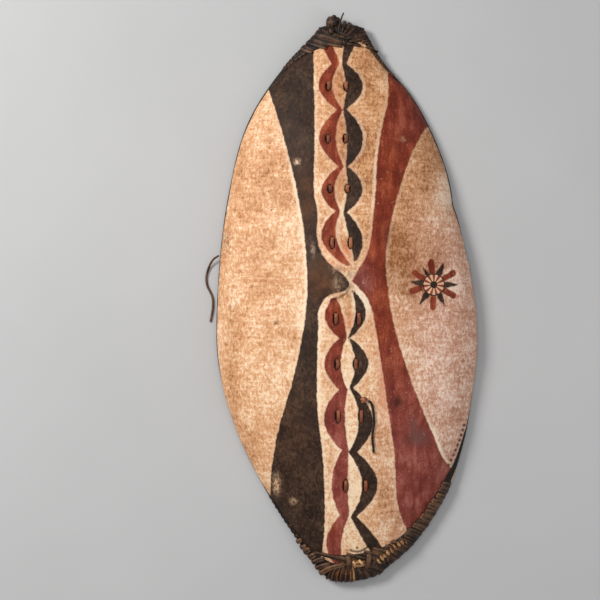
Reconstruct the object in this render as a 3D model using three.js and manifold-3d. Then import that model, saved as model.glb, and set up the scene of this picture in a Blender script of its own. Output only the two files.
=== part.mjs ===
// A painted hide shield of the East African plains, lying face up on its rim.
// Millimetres. Seen from the front, +X is its right, +Y its upper tip, and +Z stands off the floor.
import * as THREE from "three";
import { mergeVertices } from "three/addons/utils/BufferGeometryUtils.js";
import Module from "manifold-3d";

const wasm = await Module();
wasm.setup();

// ---------- Driving dimensions ----------

const TOP = 500; // hide, from the middle line to its upper edge
const BOTTOM = 512; // hide, from the middle line to its lower edge
const DEPTH = 96; // crown of the dome above the edge
const RIDGE_POWER = 2.6; // how square the long profile is
const HIDE = 5; // thickness of the hide
const END_BULGE = 7; // how far the short end edges bow outwards
const END_POWER = 8; // how near the ends that bowing stays
const BOSS = { x: 4, y: 30, height: 11, radius: 62 }; // swelling over the hand grip

// The hide's edge and its shape there, each as [height up the shield, value], from the lower tip up.
const LEFT_EDGE = [
  [-512, -40], [-469, -74], [-372, -140], [-254, -200], [-124, -236],
  [0, -238], [194, -217], [335, -177], [436, -108], [500, -42],
];
const RIGHT_EDGE = [
  [-512, 58], [-462, 119], [-367, 184], [-272, 219], [-171, 238], [-88, 246],
  [-2, 241], [115, 220], [237, 189], [326, 153], [385, 117], [436, 71], [500, 30],
];
const LEFT_STEEPNESS = [[-512, 58], [-420, 76], [-250, 87], [200, 87], [380, 78], [500, 58]];
const RIGHT_STEEPNESS = [[-512, 56], [-400, 64], [-300, 72], [-150, 87], [200, 87], [380, 76], [500, 58]];
const LEFT_LIFT = [[-512, 15], [-430, 6], [-340, 0], [-200, 0], [150, 0], [250, 0], [400, 5], [500, 13]];
const RIGHT_LIFT = [
  [-512, 15], [-400, 9], [-300, 8], [-170, 0], [-80, 0], [150, 0], [250, 0], [400, 5], [500, 13],
];

// The binding round the edge. Each row is a place on the rim, across and up from -1 to 1, with the width of
// its front leg, its thickness, how far its lip passes the hide's edge, and the steps to the next place.
const BINDING = [
  { across: 1, up: -1, cover: 36, bulk: 6, lip: 11, steps: 16 },
  { across: 1, up: -0.88, cover: 23, bulk: 5, lip: 7, steps: 34 },
  { across: 1, up: -0.56, cover: 12, bulk: 3, lip: 3, steps: 20 },
  { across: 1, up: 0.82, cover: 10, bulk: 3, lip: 3, steps: 14 },
  { across: 1, up: 1, cover: 25, bulk: 7, lip: 8, steps: 12 },
  { across: -1, up: 1, cover: 20, bulk: 6, lip: 7, steps: 14 },
  { across: -1, up: 0.82, cover: 9, bulk: 2.4, lip: 2.2, steps: 20 },
  { across: -1, up: -0.76, cover: 9, bulk: 3, lip: 2.6, steps: 14 },
  { across: -1, up: -0.94, cover: 15, bulk: 5, lip: 6, steps: 6 },
  { across: -1, up: -1, cover: 30, bulk: 6, lip: 13, steps: 16 },
];
const BINDING_GAP = 1.1; // clear of the hide all round the groove
const CUT_GAP = 0.35; // what is cut away to keep the knots clear of the hide
const BACK_COVER = 11; // width of the binding's back leg
const BACK_THIN = 0.6; // the back leg's thickness, for a front leg of 1
const HEEL_IN = 0.85; // how far the lip reaches at its back, for a lip of 1
const TOE_LOW = 0.6; // how high the lip's front edge stands, for a front leg of 1
const LEG_END = 0.5; // the front leg's thickness at its end, for a front leg of 1
const WRAP = 1.1; // how far each turn of the whipping stands above the valley beside it
const CORNER_TURN = 4; // steps over which the binding turns a corner
const KNOB = { x: -22, y: 519, z: 13, width: 25, length: 25, height: 17 };
const KNOTTED_END = { x: 25, y: -476, rise: 5.5, width: 36, length: 32, height: 12 };

const STAVE = { width: 22, thickness: 13, gap: 1.5, from: -0.9, to: 0.9, stations: 26, chamfer: 3 };
const STAVE_END = { scale: 0.7, length: 90 }; // the stave narrows to this over this length at each end
const GRIP = { y: 30, bow: 30, flat: 14, half: 50, clear: 5 }; // where the stave stands off for the hand

// Each tie is [height up the shield, half the distance between its two stitches].
const TIES = [
  [389, 16.5], [290, 15.5], [198, 16], [100, 17], [-38, 20], [-120, 18], [-215, 21], [-344, 18],
];
const THONG = { width: 7, thickness: 2.4, stitch: 20, clear: 0.6, slack: 2.2, band: 6 };
const SLIT_GAP = 0.4; // how much wider than its thong a slit in the hide is, on each side
const LEG_OVERLAP = 1; // how far a tie's legs run into its stitches and bands

const TIP_THONG = { radius: 2.2, rise: 9, points: [[2, 472], [4, 480], [-1, 487], [-9, 490], [-11, 499]] };
const TIP_SPIKE = [[-8, 512, 26], [-3, 531, 28]]; // where its stiff end passes over the binding
const TAIL = {
  radius: 2.2,
  rise: 0.7,
  points: [[39.6, -186], [44.5, -191], [47.5, -203], [49.6, -225], [46.5, -252], [48.6, -272], [49, -281]],
};
const TAIL_KNOT = { x: 31, y: -184.5, rise: 3.9, width: 14, length: 12, height: 7 };
const SIDE_THONG = {
  radius: 2,
  exit: [-236.2, 79, 16],
  loop: [[-247, 72, 10], [-256, 56, 4], [-260.5, 38, 2.4], [-258.5, 22, 2.4], [-253, 11, 2.4]],
  end: [[-249, 1, 2.4], [-248, -11, 2.4], [-249, -25, 2.4], [-253, -45, 2.4]],
};

// How many lengths each free thong's tube is cut into.
const TIP_THONG_STEPS = 16;
const TAIL_STEPS = 22;
const SIDE_THONG_STEPS = 32;
const THONG_ARC_POINTS = 4; // on each quarter of its section

// ---------- Materials ----------

function material(color, roughness) {
  return new THREE.MeshStandardMaterial({ color, roughness, metalness: 0 });
}

const hideMaterial = material(0xd9ae86, 0.55);
const bindingMaterial = material(0x4a362a, 0.6);
const staveMaterial = material(0x7a5634, 0.7);
const tieMaterial = material(0x5c4030, 0.65);
const thongMaterial = material(0x2e211b, 0.55);

// ---------- Geometry helpers ----------

const KNOT_COLUMNS = 10;
const KNOT_ROWS = 6;
const WELD = 1e-4; // points closer than this are one

function solid(geometry) {
  const bare = geometry.clone();
  bare.deleteAttribute("normal");
  bare.deleteAttribute("uv");
  const merged = mergeVertices(bare, WELD);
  return new wasm.Manifold(
    new wasm.Mesh({
      numProp: 3,
      vertProperties: merged.attributes.position.array,
      triVerts: new Uint32Array(merged.index.array),
    }),
  );
}

function geometryOf(manifold) {
  const mesh = manifold.getMesh();
  const geometry = new THREE.BufferGeometry();
  geometry.setAttribute("position", new THREE.BufferAttribute(mesh.vertProperties, 3));
  geometry.setIndex(new THREE.BufferAttribute(mesh.triVerts, 1));
  geometry.computeVertexNormals();
  return geometry;
}

// The union of several closed geometries.
function fuse(geometries) {
  return geometries.map(solid).reduce((whole, next) => whole.add(next));
}

function indexed(points, faces) {
  const geometry = new THREE.BufferGeometry().setFromPoints(points);
  geometry.setIndex(faces);
  return geometry;
}

// A closed surface through equal rings of points: a ring itself when looped, else capped at both ends.
function loft(rings, looped) {
  const size = rings[0].length;
  const spans = looped ? rings.length : rings.length - 1;
  const faces = [];
  for (let i = 0; i < spans; i++) {
    const here = i * size;
    const next = ((i + 1) % rings.length) * size;
    for (let k = 0; k < size; k++) {
      const after = (k + 1) % size;
      faces.push(here + k, next + after, here + after);
      faces.push(here + k, next + k, next + after);
    }
  }
  if (!looped) {
    const last = (rings.length - 1) * size;
    for (let k = 1; k < size - 1; k++) {
      faces.push(0, k, k + 1);
      faces.push(last, last + k + 1, last + k);
    }
  }
  return indexed(rings.flat(), faces);
}

// A round tube along a smooth curve through the points.
function tube(points, radius, steps) {
  const ring = new THREE.Shape();
  ring.absarc(0, 0, radius, 0, 2 * Math.PI);
  return new THREE.ExtrudeGeometry(ring, {
    extrudePath: new THREE.CatmullRomCurve3(points, false, "centripetal"),
    steps,
    curveSegments: THONG_ARC_POINTS,
  });
}

function ellipsoid({ width, length, height }) {
  return new THREE.SphereGeometry(1 / 2, KNOT_COLUMNS, KNOT_ROWS).scale(width, length, height);
}

// A smooth function through [place, value] rows.
function through(rows) {
  const curve = new THREE.CubicInterpolant(rows.map((r) => r[0]), rows.map((r) => r[1]), 1);
  return (place) => curve.evaluate(place)[0];
}

// ---------- The domed surface ----------

const leftEdge = through(LEFT_EDGE);
const rightEdge = through(RIGHT_EDGE);
const leftSteepness = through(LEFT_STEEPNESS);
const rightSteepness = through(RIGHT_STEEPNESS);
const leftLift = through(LEFT_LIFT);
const rightLift = through(RIGHT_LIFT);

function heightUp(up) {
  return up > 0 ? up * TOP : up * BOTTOM;
}

// The hide's outer surface. across and up run from -1 at the left and lower edges to 1.
function skin(across, up) {
  const y = heightUp(up);
  const left = leftEdge(y);
  const right = rightEdge(y);
  const steepness = THREE.MathUtils.degToRad(across < 0 ? leftSteepness(y) : rightSteepness(y));
  const angle = across * steepness;
  const side = Math.sin(angle) / Math.sin(steepness);
  const x = (left + right + side * (right - left)) / 2;
  const dome = (Math.cos(angle) - Math.cos(steepness)) / (1 - Math.cos(steepness));
  const crown = DEPTH * (1 - Math.abs(up) ** RIDGE_POWER);
  const lift = THREE.MathUtils.lerp(leftLift(y), rightLift(y), (side + 1) / 2);
  const fromBoss = Math.hypot(x - BOSS.x, y - BOSS.y) / BOSS.radius;
  const boss = BOSS.height * Math.exp(-fromBoss * fromBoss);
  const bulge = END_BULGE * (1 - side * side) * Math.sign(up) * Math.abs(up) ** END_POWER;
  return new THREE.Vector3(x, y + bulge, lift + crown * dome + boss);
}

// The surface's two tangents per unit of across and up, and its outward normal.
function frameAt(across, up) {
  const h = 1e-3; // a small step, to take the slope over
  const [a0, a1] = [Math.max(across - h, -1), Math.min(across + h, 1)];
  const [u0, u1] = [Math.max(up - h, -1), Math.min(up + h, 1)];
  const alongX = skin(a1, up).sub(skin(a0, up)).divideScalar(a1 - a0);
  const alongY = skin(across, u1).sub(skin(across, u0)).divideScalar(u1 - u0);
  const normal = alongX.clone().cross(alongY).normalize();
  return { alongX, alongY, normal };
}

function offSkin(across, up, height) {
  return skin(across, up).addScaledVector(frameAt(across, up).normal, height);
}

// The point that far off the outer surface over a plan position.
function over(x, y, height) {
  const left = leftEdge(y);
  const right = rightEdge(y);
  const side = (2 * x - left - right) / (right - left);
  const steepness = THREE.MathUtils.degToRad(side < 0 ? leftSteepness(y) : rightSteepness(y));
  const across = Math.asin(side * Math.sin(steepness)) / steepness;
  return offSkin(across, y > 0 ? y / TOP : y / BOTTOM, height);
}

// A flattened knot lying on the hide, its middle that far off the surface.
function knotOnSkin(knot) {
  const foot = over(knot.x, knot.y, 0);
  const normal = over(knot.x, knot.y, 1).sub(foot);
  const turn = new THREE.Quaternion().setFromUnitVectors(new THREE.Vector3(0, 0, 1), normal);
  const pose = new THREE.Matrix4().makeRotationFromQuaternion(turn);
  pose.setPosition(foot.addScaledVector(normal, knot.rise));
  return ellipsoid(knot).applyMatrix4(pose);
}

// ---------- Hide ----------

const ROWS = 32;
const COLUMNS = 14; // closer together towards the sides, where the hide turns down
const AT_EDGE = 0.999; // across and up count as the edge itself beyond this

// The hide as a closed sheet, with every face moved outwards by the clearance given.
function hideGeometry(grow = 0) {
  const points = [];
  const past = (place) => (Math.abs(place) > AT_EDGE ? 2 * grow * Math.sign(place) : 0);
  for (const depth of [grow, -HIDE - grow])
    for (let j = 0; j <= ROWS; j++)
      for (let i = 0; i <= COLUMNS; i++) {
        const across = Math.sin(Math.PI * (i / COLUMNS - 0.5));
        const up = (2 * j) / ROWS - 1;
        const { alongX, alongY } = frameAt(across, up);
        const point = offSkin(across, up, depth);
        point.addScaledVector(alongX.normalize(), past(across));
        point.addScaledVector(alongY.normalize(), past(up));
        points.push(point);
      }
  const layer = (ROWS + 1) * (COLUMNS + 1);
  const at = (i, j) => j * (COLUMNS + 1) + i;
  const faces = [];
  const quad = (a, b, c, d) => faces.push(a, b, c, a, c, d);
  for (let j = 0; j < ROWS; j++)
    for (let i = 0; i < COLUMNS; i++) {
      const [a, b, c, d] = [at(i, j), at(i + 1, j), at(i + 1, j + 1), at(i, j + 1)];
      quad(a, b, c, d);
      quad(d + layer, c + layer, b + layer, a + layer);
    }
  for (let j = 0; j < ROWS; j++) {
    quad(at(COLUMNS, j), at(COLUMNS, j) + layer, at(COLUMNS, j + 1) + layer, at(COLUMNS, j + 1));
    quad(at(0, j + 1), at(0, j + 1) + layer, at(0, j) + layer, at(0, j));
  }
  for (let i = 0; i < COLUMNS; i++) {
    quad(at(i, 0), at(i, 0) + layer, at(i + 1, 0) + layer, at(i + 1, 0));
    quad(at(i + 1, ROWS), at(i + 1, ROWS) + layer, at(i, ROWS) + layer, at(i, ROWS));
  }
  return indexed(points, faces);
}

// ---------- Binding ----------

// The binding's places round the rim, one for each step, with a ridge on every second one.
function rimPlaces() {
  const places = [];
  BINDING.forEach((from, k) => {
    const to = BINDING[(k + 1) % BINDING.length];
    for (let i = 0; i < from.steps; i++) {
      const place = { ridge: i % 2 ? WRAP : 0 };
      for (const key of ["across", "up", "cover", "bulk", "lip"])
        place[key] = THREE.MathUtils.lerp(from[key], to[key], i / from.steps);
      places.push(place);
    }
  });
  return places;
}

// A C-shaped section that grips the hide's edge, from the front leg's end round the groove and back.
function bindingSection(place, before, after) {
  const { across, up, cover, bulk, lip, ridge } = place;
  const { alongX, alongY, normal } = frameAt(across, up);
  const along = skin(after.across, after.up).sub(skin(before.across, before.up)).normalize();
  const inward = normal.clone().cross(along).normalize();
  const edge = skin(across, up);
  const g = BINDING_GAP;
  const at = (out, off) => edge.clone().addScaledVector(inward, -out).addScaledVector(normal, off);
  // A point that far up the surface from the edge, and that far off it.
  const leg = (reach, off) => {
    const acrossStep = (reach * inward.dot(alongX)) / alongX.lengthSq();
    const upStep = (reach * inward.dot(alongY)) / alongY.lengthSq();
    return offSkin(across + acrossStep, up + upStep, off);
  };
  const front = g + bulk + ridge;
  const back = -HIDE - g - BACK_THIN * (bulk + ridge);
  const outer = g + lip + ridge;
  return [
    leg(cover, g),
    leg(cover / 2, g),
    at(g, g),
    at(g, -HIDE - g),
    leg(BACK_COVER, -HIDE - g),
    leg(BACK_COVER, back),
    at(outer * HEEL_IN, back),
    at(outer, front * TOE_LOW),
    leg(cover / 2, front),
    leg(cover, g + LEG_END * bulk),
  ];
}

function bindingGeometry() {
  const places = rimPlaces();
  const n = places.length;
  const rings = places.map((place, i) =>
    bindingSection(place, places[(i + n - CORNER_TURN) % n], places[(i + CORNER_TURN) % n]),
  );
  const knob = ellipsoid(KNOB).translate(KNOB.x, KNOB.y, KNOB.z);
  const whole = fuse([loft(rings, true), knob, knotOnSkin(KNOTTED_END)]);
  return whole.subtract(solid(hideGeometry(CUT_GAP)));
}

// ---------- Stave ----------

// How far the stave bows away from the hide: level over the middle of the grip, then easing to nothing.
function bowAt(y) {
  const past = Math.max(Math.abs(y - GRIP.y) - GRIP.flat, 0) / (GRIP.half - GRIP.flat);
  return past < 1 ? (GRIP.bow * (1 + Math.cos(Math.PI * past))) / 2 : 0;
}

// The ridge line under the middle of the hide, with the direction square to it.
function ridgeAt(y) {
  const up = y > 0 ? y / TOP : y / BOTTOM;
  const { alongY } = frameAt(0, up);
  const square = new THREE.Vector3(0, -alongY.z, alongY.y).normalize();
  return { point: skin(0, up), square };
}

function staveSection(y) {
  const level = Math.abs(y - GRIP.y) <= GRIP.flat;
  const { point, square } = ridgeAt(level ? GRIP.y : y);
  if (level) {
    point.y = y;
    square.set(0, 0, 1);
  }
  const reach = Math.min(y - heightUp(STAVE.from), heightUp(STAVE.to) - y);
  const taper = THREE.MathUtils.lerp(STAVE_END.scale, 1, Math.min(reach / STAVE_END.length, 1));
  const half = (STAVE.width / 2) * taper;
  const deep = STAVE.thickness * taper;
  const cut = STAVE.chamfer;
  const top = -HIDE - STAVE.gap - bowAt(y);
  const outline = [
    [-half + cut, 0], [-half, -cut], [-half, cut - deep], [-half + cut, -deep],
    [half - cut, -deep], [half, cut - deep], [half, -cut], [half - cut, 0],
  ];
  return outline.map(([x, z]) =>
    point.clone().add(new THREE.Vector3(x, 0, 0)).addScaledVector(square, top + z),
  );
}

function staveGeometry() {
  const bends = [GRIP.flat, (2 * GRIP.flat + GRIP.half) / 3, (GRIP.flat + 2 * GRIP.half) / 3, GRIP.half];
  const stops = bends.flatMap((reach) => [GRIP.y - reach, GRIP.y + reach]);
  const [low, high] = [heightUp(STAVE.from), heightUp(STAVE.to)];
  for (let i = 0; i <= STAVE.stations; i++) {
    const y = THREE.MathUtils.lerp(low, high, i / STAVE.stations);
    if (Math.abs(y - GRIP.y) > GRIP.half + GRIP.clear) stops.push(y);
  }
  return loft(stops.sort((a, b) => a - b).map(staveSection), false);
}

// ---------- Ties ----------

function block(x0, x1, y0, y1, z0, z1) {
  const box = new THREE.BoxGeometry(x1 - x0, y1 - y0, z1 - z0);
  return box.translate((x0 + x1) / 2, (y0 + y1) / 2, (z0 + z1) / 2);
}

// The four legs of a tie where they pass through the hide, widened by the clearance given.
function tieLegs(half, grow) {
  const bottom = -HIDE - STAVE.gap - STAVE.thickness - THONG.slack - LEG_OVERLAP;
  const legs = [];
  for (const x of [-half, half])
    for (const y of [-THONG.stitch / 2, THONG.stitch / 2])
      legs.push(
        block(
          x - THONG.width / 2 - grow, x + THONG.width / 2 + grow,
          y - THONG.thickness / 2 - grow, y + THONG.thickness / 2 + grow,
          bottom, THONG.clear + LEG_OVERLAP,
        ),
      );
  return legs;
}

// Two upright stitches on the front, four legs through the hide and two bands behind the stave.
function tieGeometries(half) {
  const pieces = tieLegs(half, 0);
  const reach = THONG.stitch / 2 + THONG.thickness / 2;
  const outside = half + THONG.width / 2;
  const bandTop = -HIDE - STAVE.gap - STAVE.thickness - THONG.slack;
  for (const x of [-half, half])
    pieces.push(
      block(
        x - THONG.width / 2, x + THONG.width / 2, -reach, reach, THONG.clear, THONG.clear + THONG.thickness,
      ),
    );
  for (const y of [-THONG.stitch / 2, THONG.stitch / 2])
    pieces.push(
      block(
        -outside, outside, y - THONG.band / 2, y + THONG.band / 2, bandTop - THONG.thickness, bandTop,
      ),
    );
  return pieces;
}

// Where a tie stands on the ridge, leaning with it.
function tiePlace(y) {
  const { point, square } = ridgeAt(y);
  const lean = Math.atan2(-square.y, square.z);
  return new THREE.Matrix4().makeRotationX(lean).setPosition(point);
}

// ---------- Assembly ----------

const shield = new THREE.Group();

function piece(name, geometry, finish) {
  const mesh = new THREE.Mesh(geometry, finish);
  mesh.name = name;
  shield.add(mesh);
  return mesh;
}

const slits = TIES.flatMap(([y, half]) =>
  tieLegs(half, SLIT_GAP).map((leg) => leg.applyMatrix4(tiePlace(y))),
);
const slitHide = slits.map(solid).reduce((rest, slit) => rest.subtract(slit), solid(hideGeometry()));
piece("hide_shell", geometryOf(slitHide), hideMaterial);
const binding = piece("rim_binding", geometryOf(bindingGeometry()), bindingMaterial);
piece("stave", staveGeometry(), staveMaterial);
TIES.forEach(([y, half], i) => {
  const tie = fuse(tieGeometries(half));
  piece(`stave_tie_${i + 1}`, geometryOf(tie).applyMatrix4(tiePlace(y)), tieMaterial);
});

binding.geometry.computeBoundingBox();
const floor = binding.geometry.boundingBox.min.z;

const tipPath = TIP_THONG.points.map(([x, y]) => over(x, y, TIP_THONG.radius + TIP_THONG.rise));
const spike = TIP_SPIKE.map((point) => new THREE.Vector3(...point));
piece("tip_thong", tube([...tipPath, ...spike], TIP_THONG.radius, TIP_THONG_STEPS), thongMaterial);

piece("tail_knot", knotOnSkin(TAIL_KNOT), tieMaterial);
const tailPath = TAIL.points.map(([x, y]) => over(x, y, TAIL.radius + TAIL.rise));
piece("thong_tail", tube(tailPath, TAIL.radius, TAIL_STEPS), thongMaterial);

const sidePath = [SIDE_THONG.exit, ...SIDE_THONG.loop, ...SIDE_THONG.end].map(
  ([x, y, z]) => new THREE.Vector3(x, y, z + floor),
);
piece("side_thong", tube(sidePath, SIDE_THONG.radius, SIDE_THONG_STEPS), thongMaterial);

// The origin is on the floor under the middle of the shield without its free thongs.
const box = new THREE.Box3();
shield.children
  .filter((mesh) => !["side_thong", "thong_tail"].includes(mesh.name))
  .forEach((mesh) => box.expandByObject(mesh));
const middle = box.getCenter(new THREE.Vector3());
shield.position.set(-middle.x, -middle.y, -box.min.z);

export default shield;
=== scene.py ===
import math

import bpy
import numpy as np
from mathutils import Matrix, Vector


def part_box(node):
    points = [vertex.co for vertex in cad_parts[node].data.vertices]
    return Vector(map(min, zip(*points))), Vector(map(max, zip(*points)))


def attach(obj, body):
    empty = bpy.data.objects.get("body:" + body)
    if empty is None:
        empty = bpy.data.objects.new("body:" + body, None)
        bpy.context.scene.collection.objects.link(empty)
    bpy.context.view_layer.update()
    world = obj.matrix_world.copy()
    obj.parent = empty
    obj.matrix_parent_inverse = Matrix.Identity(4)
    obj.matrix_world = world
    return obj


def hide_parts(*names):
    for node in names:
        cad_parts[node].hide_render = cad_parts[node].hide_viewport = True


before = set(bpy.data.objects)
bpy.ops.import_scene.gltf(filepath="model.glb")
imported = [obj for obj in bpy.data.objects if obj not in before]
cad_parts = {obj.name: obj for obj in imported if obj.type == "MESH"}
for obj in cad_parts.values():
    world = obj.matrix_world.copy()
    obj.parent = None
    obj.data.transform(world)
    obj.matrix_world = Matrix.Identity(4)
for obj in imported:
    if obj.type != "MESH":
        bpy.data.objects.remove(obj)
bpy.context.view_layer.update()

# A painted hide shield, lying face up. Shapes are worked out in millimetres in the drawing frame of the
# part, whose middle line is x = 0, and moved by SHIFT into the frame's own place, which is in metres.

MM = 0.001

# ---------- The domed surface, as the part has it ----------

TOP = 500
BOTTOM = 512
DEPTH = 96
RIDGE_POWER = 2.6
HIDE = 5
END_BULGE = 7
BOSS = {"x": 4, "y": 30, "height": 11, "radius": 62}
LEFT_EDGE = [
    [-512, -40], [-469, -74], [-372, -140], [-254, -200], [-124, -236],
    [0, -238], [194, -217], [335, -177], [436, -108], [500, -42],
]
RIGHT_EDGE = [
    [-512, 58], [-462, 119], [-367, 184], [-272, 219], [-171, 238], [-88, 246],
    [-2, 241], [115, 220], [237, 189], [326, 153], [385, 117], [436, 71], [500, 30],
]
LEFT_STEEPNESS = [[-512, 58], [-420, 76], [-250, 87], [200, 87], [380, 78], [500, 58]]
RIGHT_STEEPNESS = [[-512, 56], [-400, 64], [-300, 72], [-150, 87], [200, 87], [380, 76], [500, 58]]
LEFT_LIFT = [[-512, 15], [-430, 6], [-340, 0], [-200, 0], [150, 0], [250, 0], [400, 5], [500, 13]]
RIGHT_LIFT = [[-512, 15], [-400, 9], [-300, 8], [-170, 0], [-80, 0], [150, 0], [250, 0], [400, 5], [500, 13]]
# How far the upper right edge is pushed in from the even outline: finer than the part has it.
RIGHT_DENT = [[60, 0], [115, 2], [150, 3], [175, 5.5], [205, 2], [237, 0], [300, 0]]
DENT_FROM = 0.35  # how far across the push begins


def through(rows):
    """A smooth function through [place, value] rows, level outside them."""
    places = np.array([row[0] for row in rows], float)
    values = np.array([row[1] for row in rows], float)
    last = len(rows) - 1

    def evaluate(place):
        t = np.clip(np.asarray(place, float), places[0], places[-1])
        i1 = np.clip(np.searchsorted(places, t, side="right"), 1, last)
        i0 = i1 - 1
        t0, t1 = places[i0], places[i1]
        before = np.where(i0 > 0, i0 - 1, i1)
        after = np.where(i1 < last, i1 + 1, i0)
        weight_before = 0.5 * (t1 - t0) / (t0 - places[before])
        weight_after = 0.5 * (t1 - t0) / (places[after] - t1)
        p = (t - t0) / (t1 - t0)
        a = weight_before * (-p**3 + 2 * p**2 - p)
        b = (1 + weight_before) * p**3 + (-1.5 - 2 * weight_before) * p**2 + (-0.5 + weight_before) * p + 1
        c = (-1 - weight_after) * p**3 + (1.5 + weight_after) * p**2 + 0.5 * p
        d = weight_after * (p**3 - p**2)
        return a * values[before] + b * values[i0] + c * values[i1] + d * values[after]

    return evaluate


left_edge = through(LEFT_EDGE)
right_edge = through(RIGHT_EDGE)
left_steepness = through(LEFT_STEEPNESS)
right_steepness = through(RIGHT_STEEPNESS)
left_lift = through(LEFT_LIFT)
right_lift = through(RIGHT_LIFT)
right_dent = through(RIGHT_DENT)


def unit(vectors):
    return vectors / np.maximum(np.linalg.norm(vectors, axis=-1, keepdims=True), 1e-12)


def skin(across, up):
    """The hide's outer surface. across and up run from -1 at the left and lower edges to 1."""
    across, up = np.broadcast_arrays(np.asarray(across, float), np.asarray(up, float))
    y = np.where(up > 0, up * TOP, up * BOTTOM)
    left, right = left_edge(y), right_edge(y)
    steepness = np.radians(np.where(across < 0, left_steepness(y), right_steepness(y)))
    angle = across * steepness
    side = np.sin(angle) / np.sin(steepness)
    x = (left + right + side * (right - left)) / 2
    outer = np.clip((np.abs(across) - DENT_FROM) / (1 - DENT_FROM), 0, 1)
    x = x - outer**2 * (3 - 2 * outer) * np.where(across < 0, 0, right_dent(y))
    dome = (np.cos(angle) - np.cos(steepness)) / (1 - np.cos(steepness))
    crown = DEPTH * (1 - np.abs(up) ** RIDGE_POWER)
    lift = left_lift(y) + (right_lift(y) - left_lift(y)) * (side + 1) / 2
    boss = BOSS["height"] * np.exp(-((x - BOSS["x"]) ** 2 + (y - BOSS["y"]) ** 2) / BOSS["radius"] ** 2)
    bulge = END_BULGE * (1 - side**2) * np.sign(up) * np.abs(up) ** 8
    return np.stack([x, y + bulge, lift + crown * dome + boss], axis=-1)


def frame_at(across, up):
    """The surface's two tangents per unit of across and up, and its outward normal."""
    h = 1e-3
    a0, a1 = np.maximum(across - h, -1), np.minimum(across + h, 1)
    u0, u1 = np.maximum(up - h, -1), np.minimum(up + h, 1)
    along_x = (skin(a1, up) - skin(a0, up)) / (a1 - a0)[..., None]
    along_y = (skin(across, u1) - skin(across, u0)) / (u1 - u0)[..., None]
    return along_x, along_y, unit(np.cross(along_x, along_y))


def off_skin(across, up, height):
    across, up = np.broadcast_arrays(np.asarray(across, float), np.asarray(up, float))
    return skin(across, up) + frame_at(across, up)[2] * np.asarray(height, float)[..., None]


def place_at(x, y):
    """across and up over a plan position."""
    left, right = left_edge(y), right_edge(y)
    side = np.clip((2 * x - left - right) / (right - left), -1, 1)
    steepness = np.radians(np.where(side < 0, left_steepness(y), right_steepness(y)))
    across = np.arcsin(side * np.sin(steepness)) / steepness
    return across, np.where(np.asarray(y) > 0, np.asarray(y) / TOP, np.asarray(y) / BOTTOM)


def over(x, y, height):
    """The point that far off the outer surface over a plan position."""
    across, up = place_at(np.asarray(x, float), np.asarray(y, float))
    return off_skin(across, up, height)


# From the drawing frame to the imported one: what brings the drawn hide's highest corner to its box's.
PART_ROWS = 32
PART_COLUMNS = 14
part_across = np.sin(np.pi * (np.linspace(0, 1, PART_COLUMNS + 1) - 0.5))
drawn_hide = skin(part_across[None, :], np.linspace(-1, 1, PART_ROWS + 1)[:, None])
SHIFT = np.array(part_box("hide_shell")[1]) / MM - drawn_hide.reshape(-1, 3).max(axis=0)

# ---------- Camera and light ----------

EYE = np.array([-84.6, -3.8])  # plan position of the camera, in the drawing frame
EYE_HEIGHT = 2600
VIEW_WIDTH = 1128  # what the camera takes in of the floor, side to side
SENSOR = 36

scene = bpy.context.scene
scene.view_settings.view_transform = "Standard"

camera_data = bpy.data.cameras.new("camera")
camera_data.sensor_width = SENSOR
camera_data.lens = SENSOR * EYE_HEIGHT / VIEW_WIDTH
camera_data.clip_end = 20
camera = bpy.data.objects.new("camera", camera_data)
camera.location = ((EYE[0] + SHIFT[0]) * MM, (EYE[1] + SHIFT[1]) * MM, EYE_HEIGHT * MM)
scene.collection.objects.link(camera)
scene.camera = camera


def as_seen(points):
    """Where drawing-frame points fall on the floor when looked at from the camera's place."""
    height = points[..., 2] + SHIFT[2]
    return EYE + (points[..., :2] - EYE) / (1 - height / EYE_HEIGHT)[..., None]


def area_light(name, place, target, size, power, colour):
    data = bpy.data.lights.new(name, "AREA")
    data.shape = "DISK"
    data.size = size
    data.energy = power
    data.color = colour
    light = bpy.data.objects.new(name, data)
    light.location = place
    light.rotation_euler = (Vector(target) - Vector(place)).to_track_quat("-Z", "Y").to_euler()
    scene.collection.objects.link(light)


area_light("key", (-1.9, 1.1, 2.1), (0, 0, 0.05), 1.0, 66, (1.0, 0.975, 0.94))
area_light("top", (0.0, 0.2, 3.0), (0, 0, 0), 2.4, 15, (1.0, 0.99, 0.97))
area_light("fill", (2.2, -1.2, 1.9), (0, 0, 0.05), 1.8, 11, (1.0, 0.98, 0.96))

world = bpy.data.worlds.new("studio")
world.use_nodes = True
world.node_tree.nodes["Background"].inputs["Color"].default_value = (0.86, 0.855, 0.85, 1)
world.node_tree.nodes["Background"].inputs["Strength"].default_value = 0.34
scene.world = world

# ---------- Materials ----------


def srgb(red, green, blue):
    """A linear colour from a screen colour with parts from 0 to 255."""
    parts = [value / 255 for value in (red, green, blue)]
    return tuple(p / 12.92 if p <= 0.04045 else ((p + 0.055) / 1.055) ** 2.4 for p in parts) + (1,)


ROSETTE_STRIPES = 11


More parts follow.
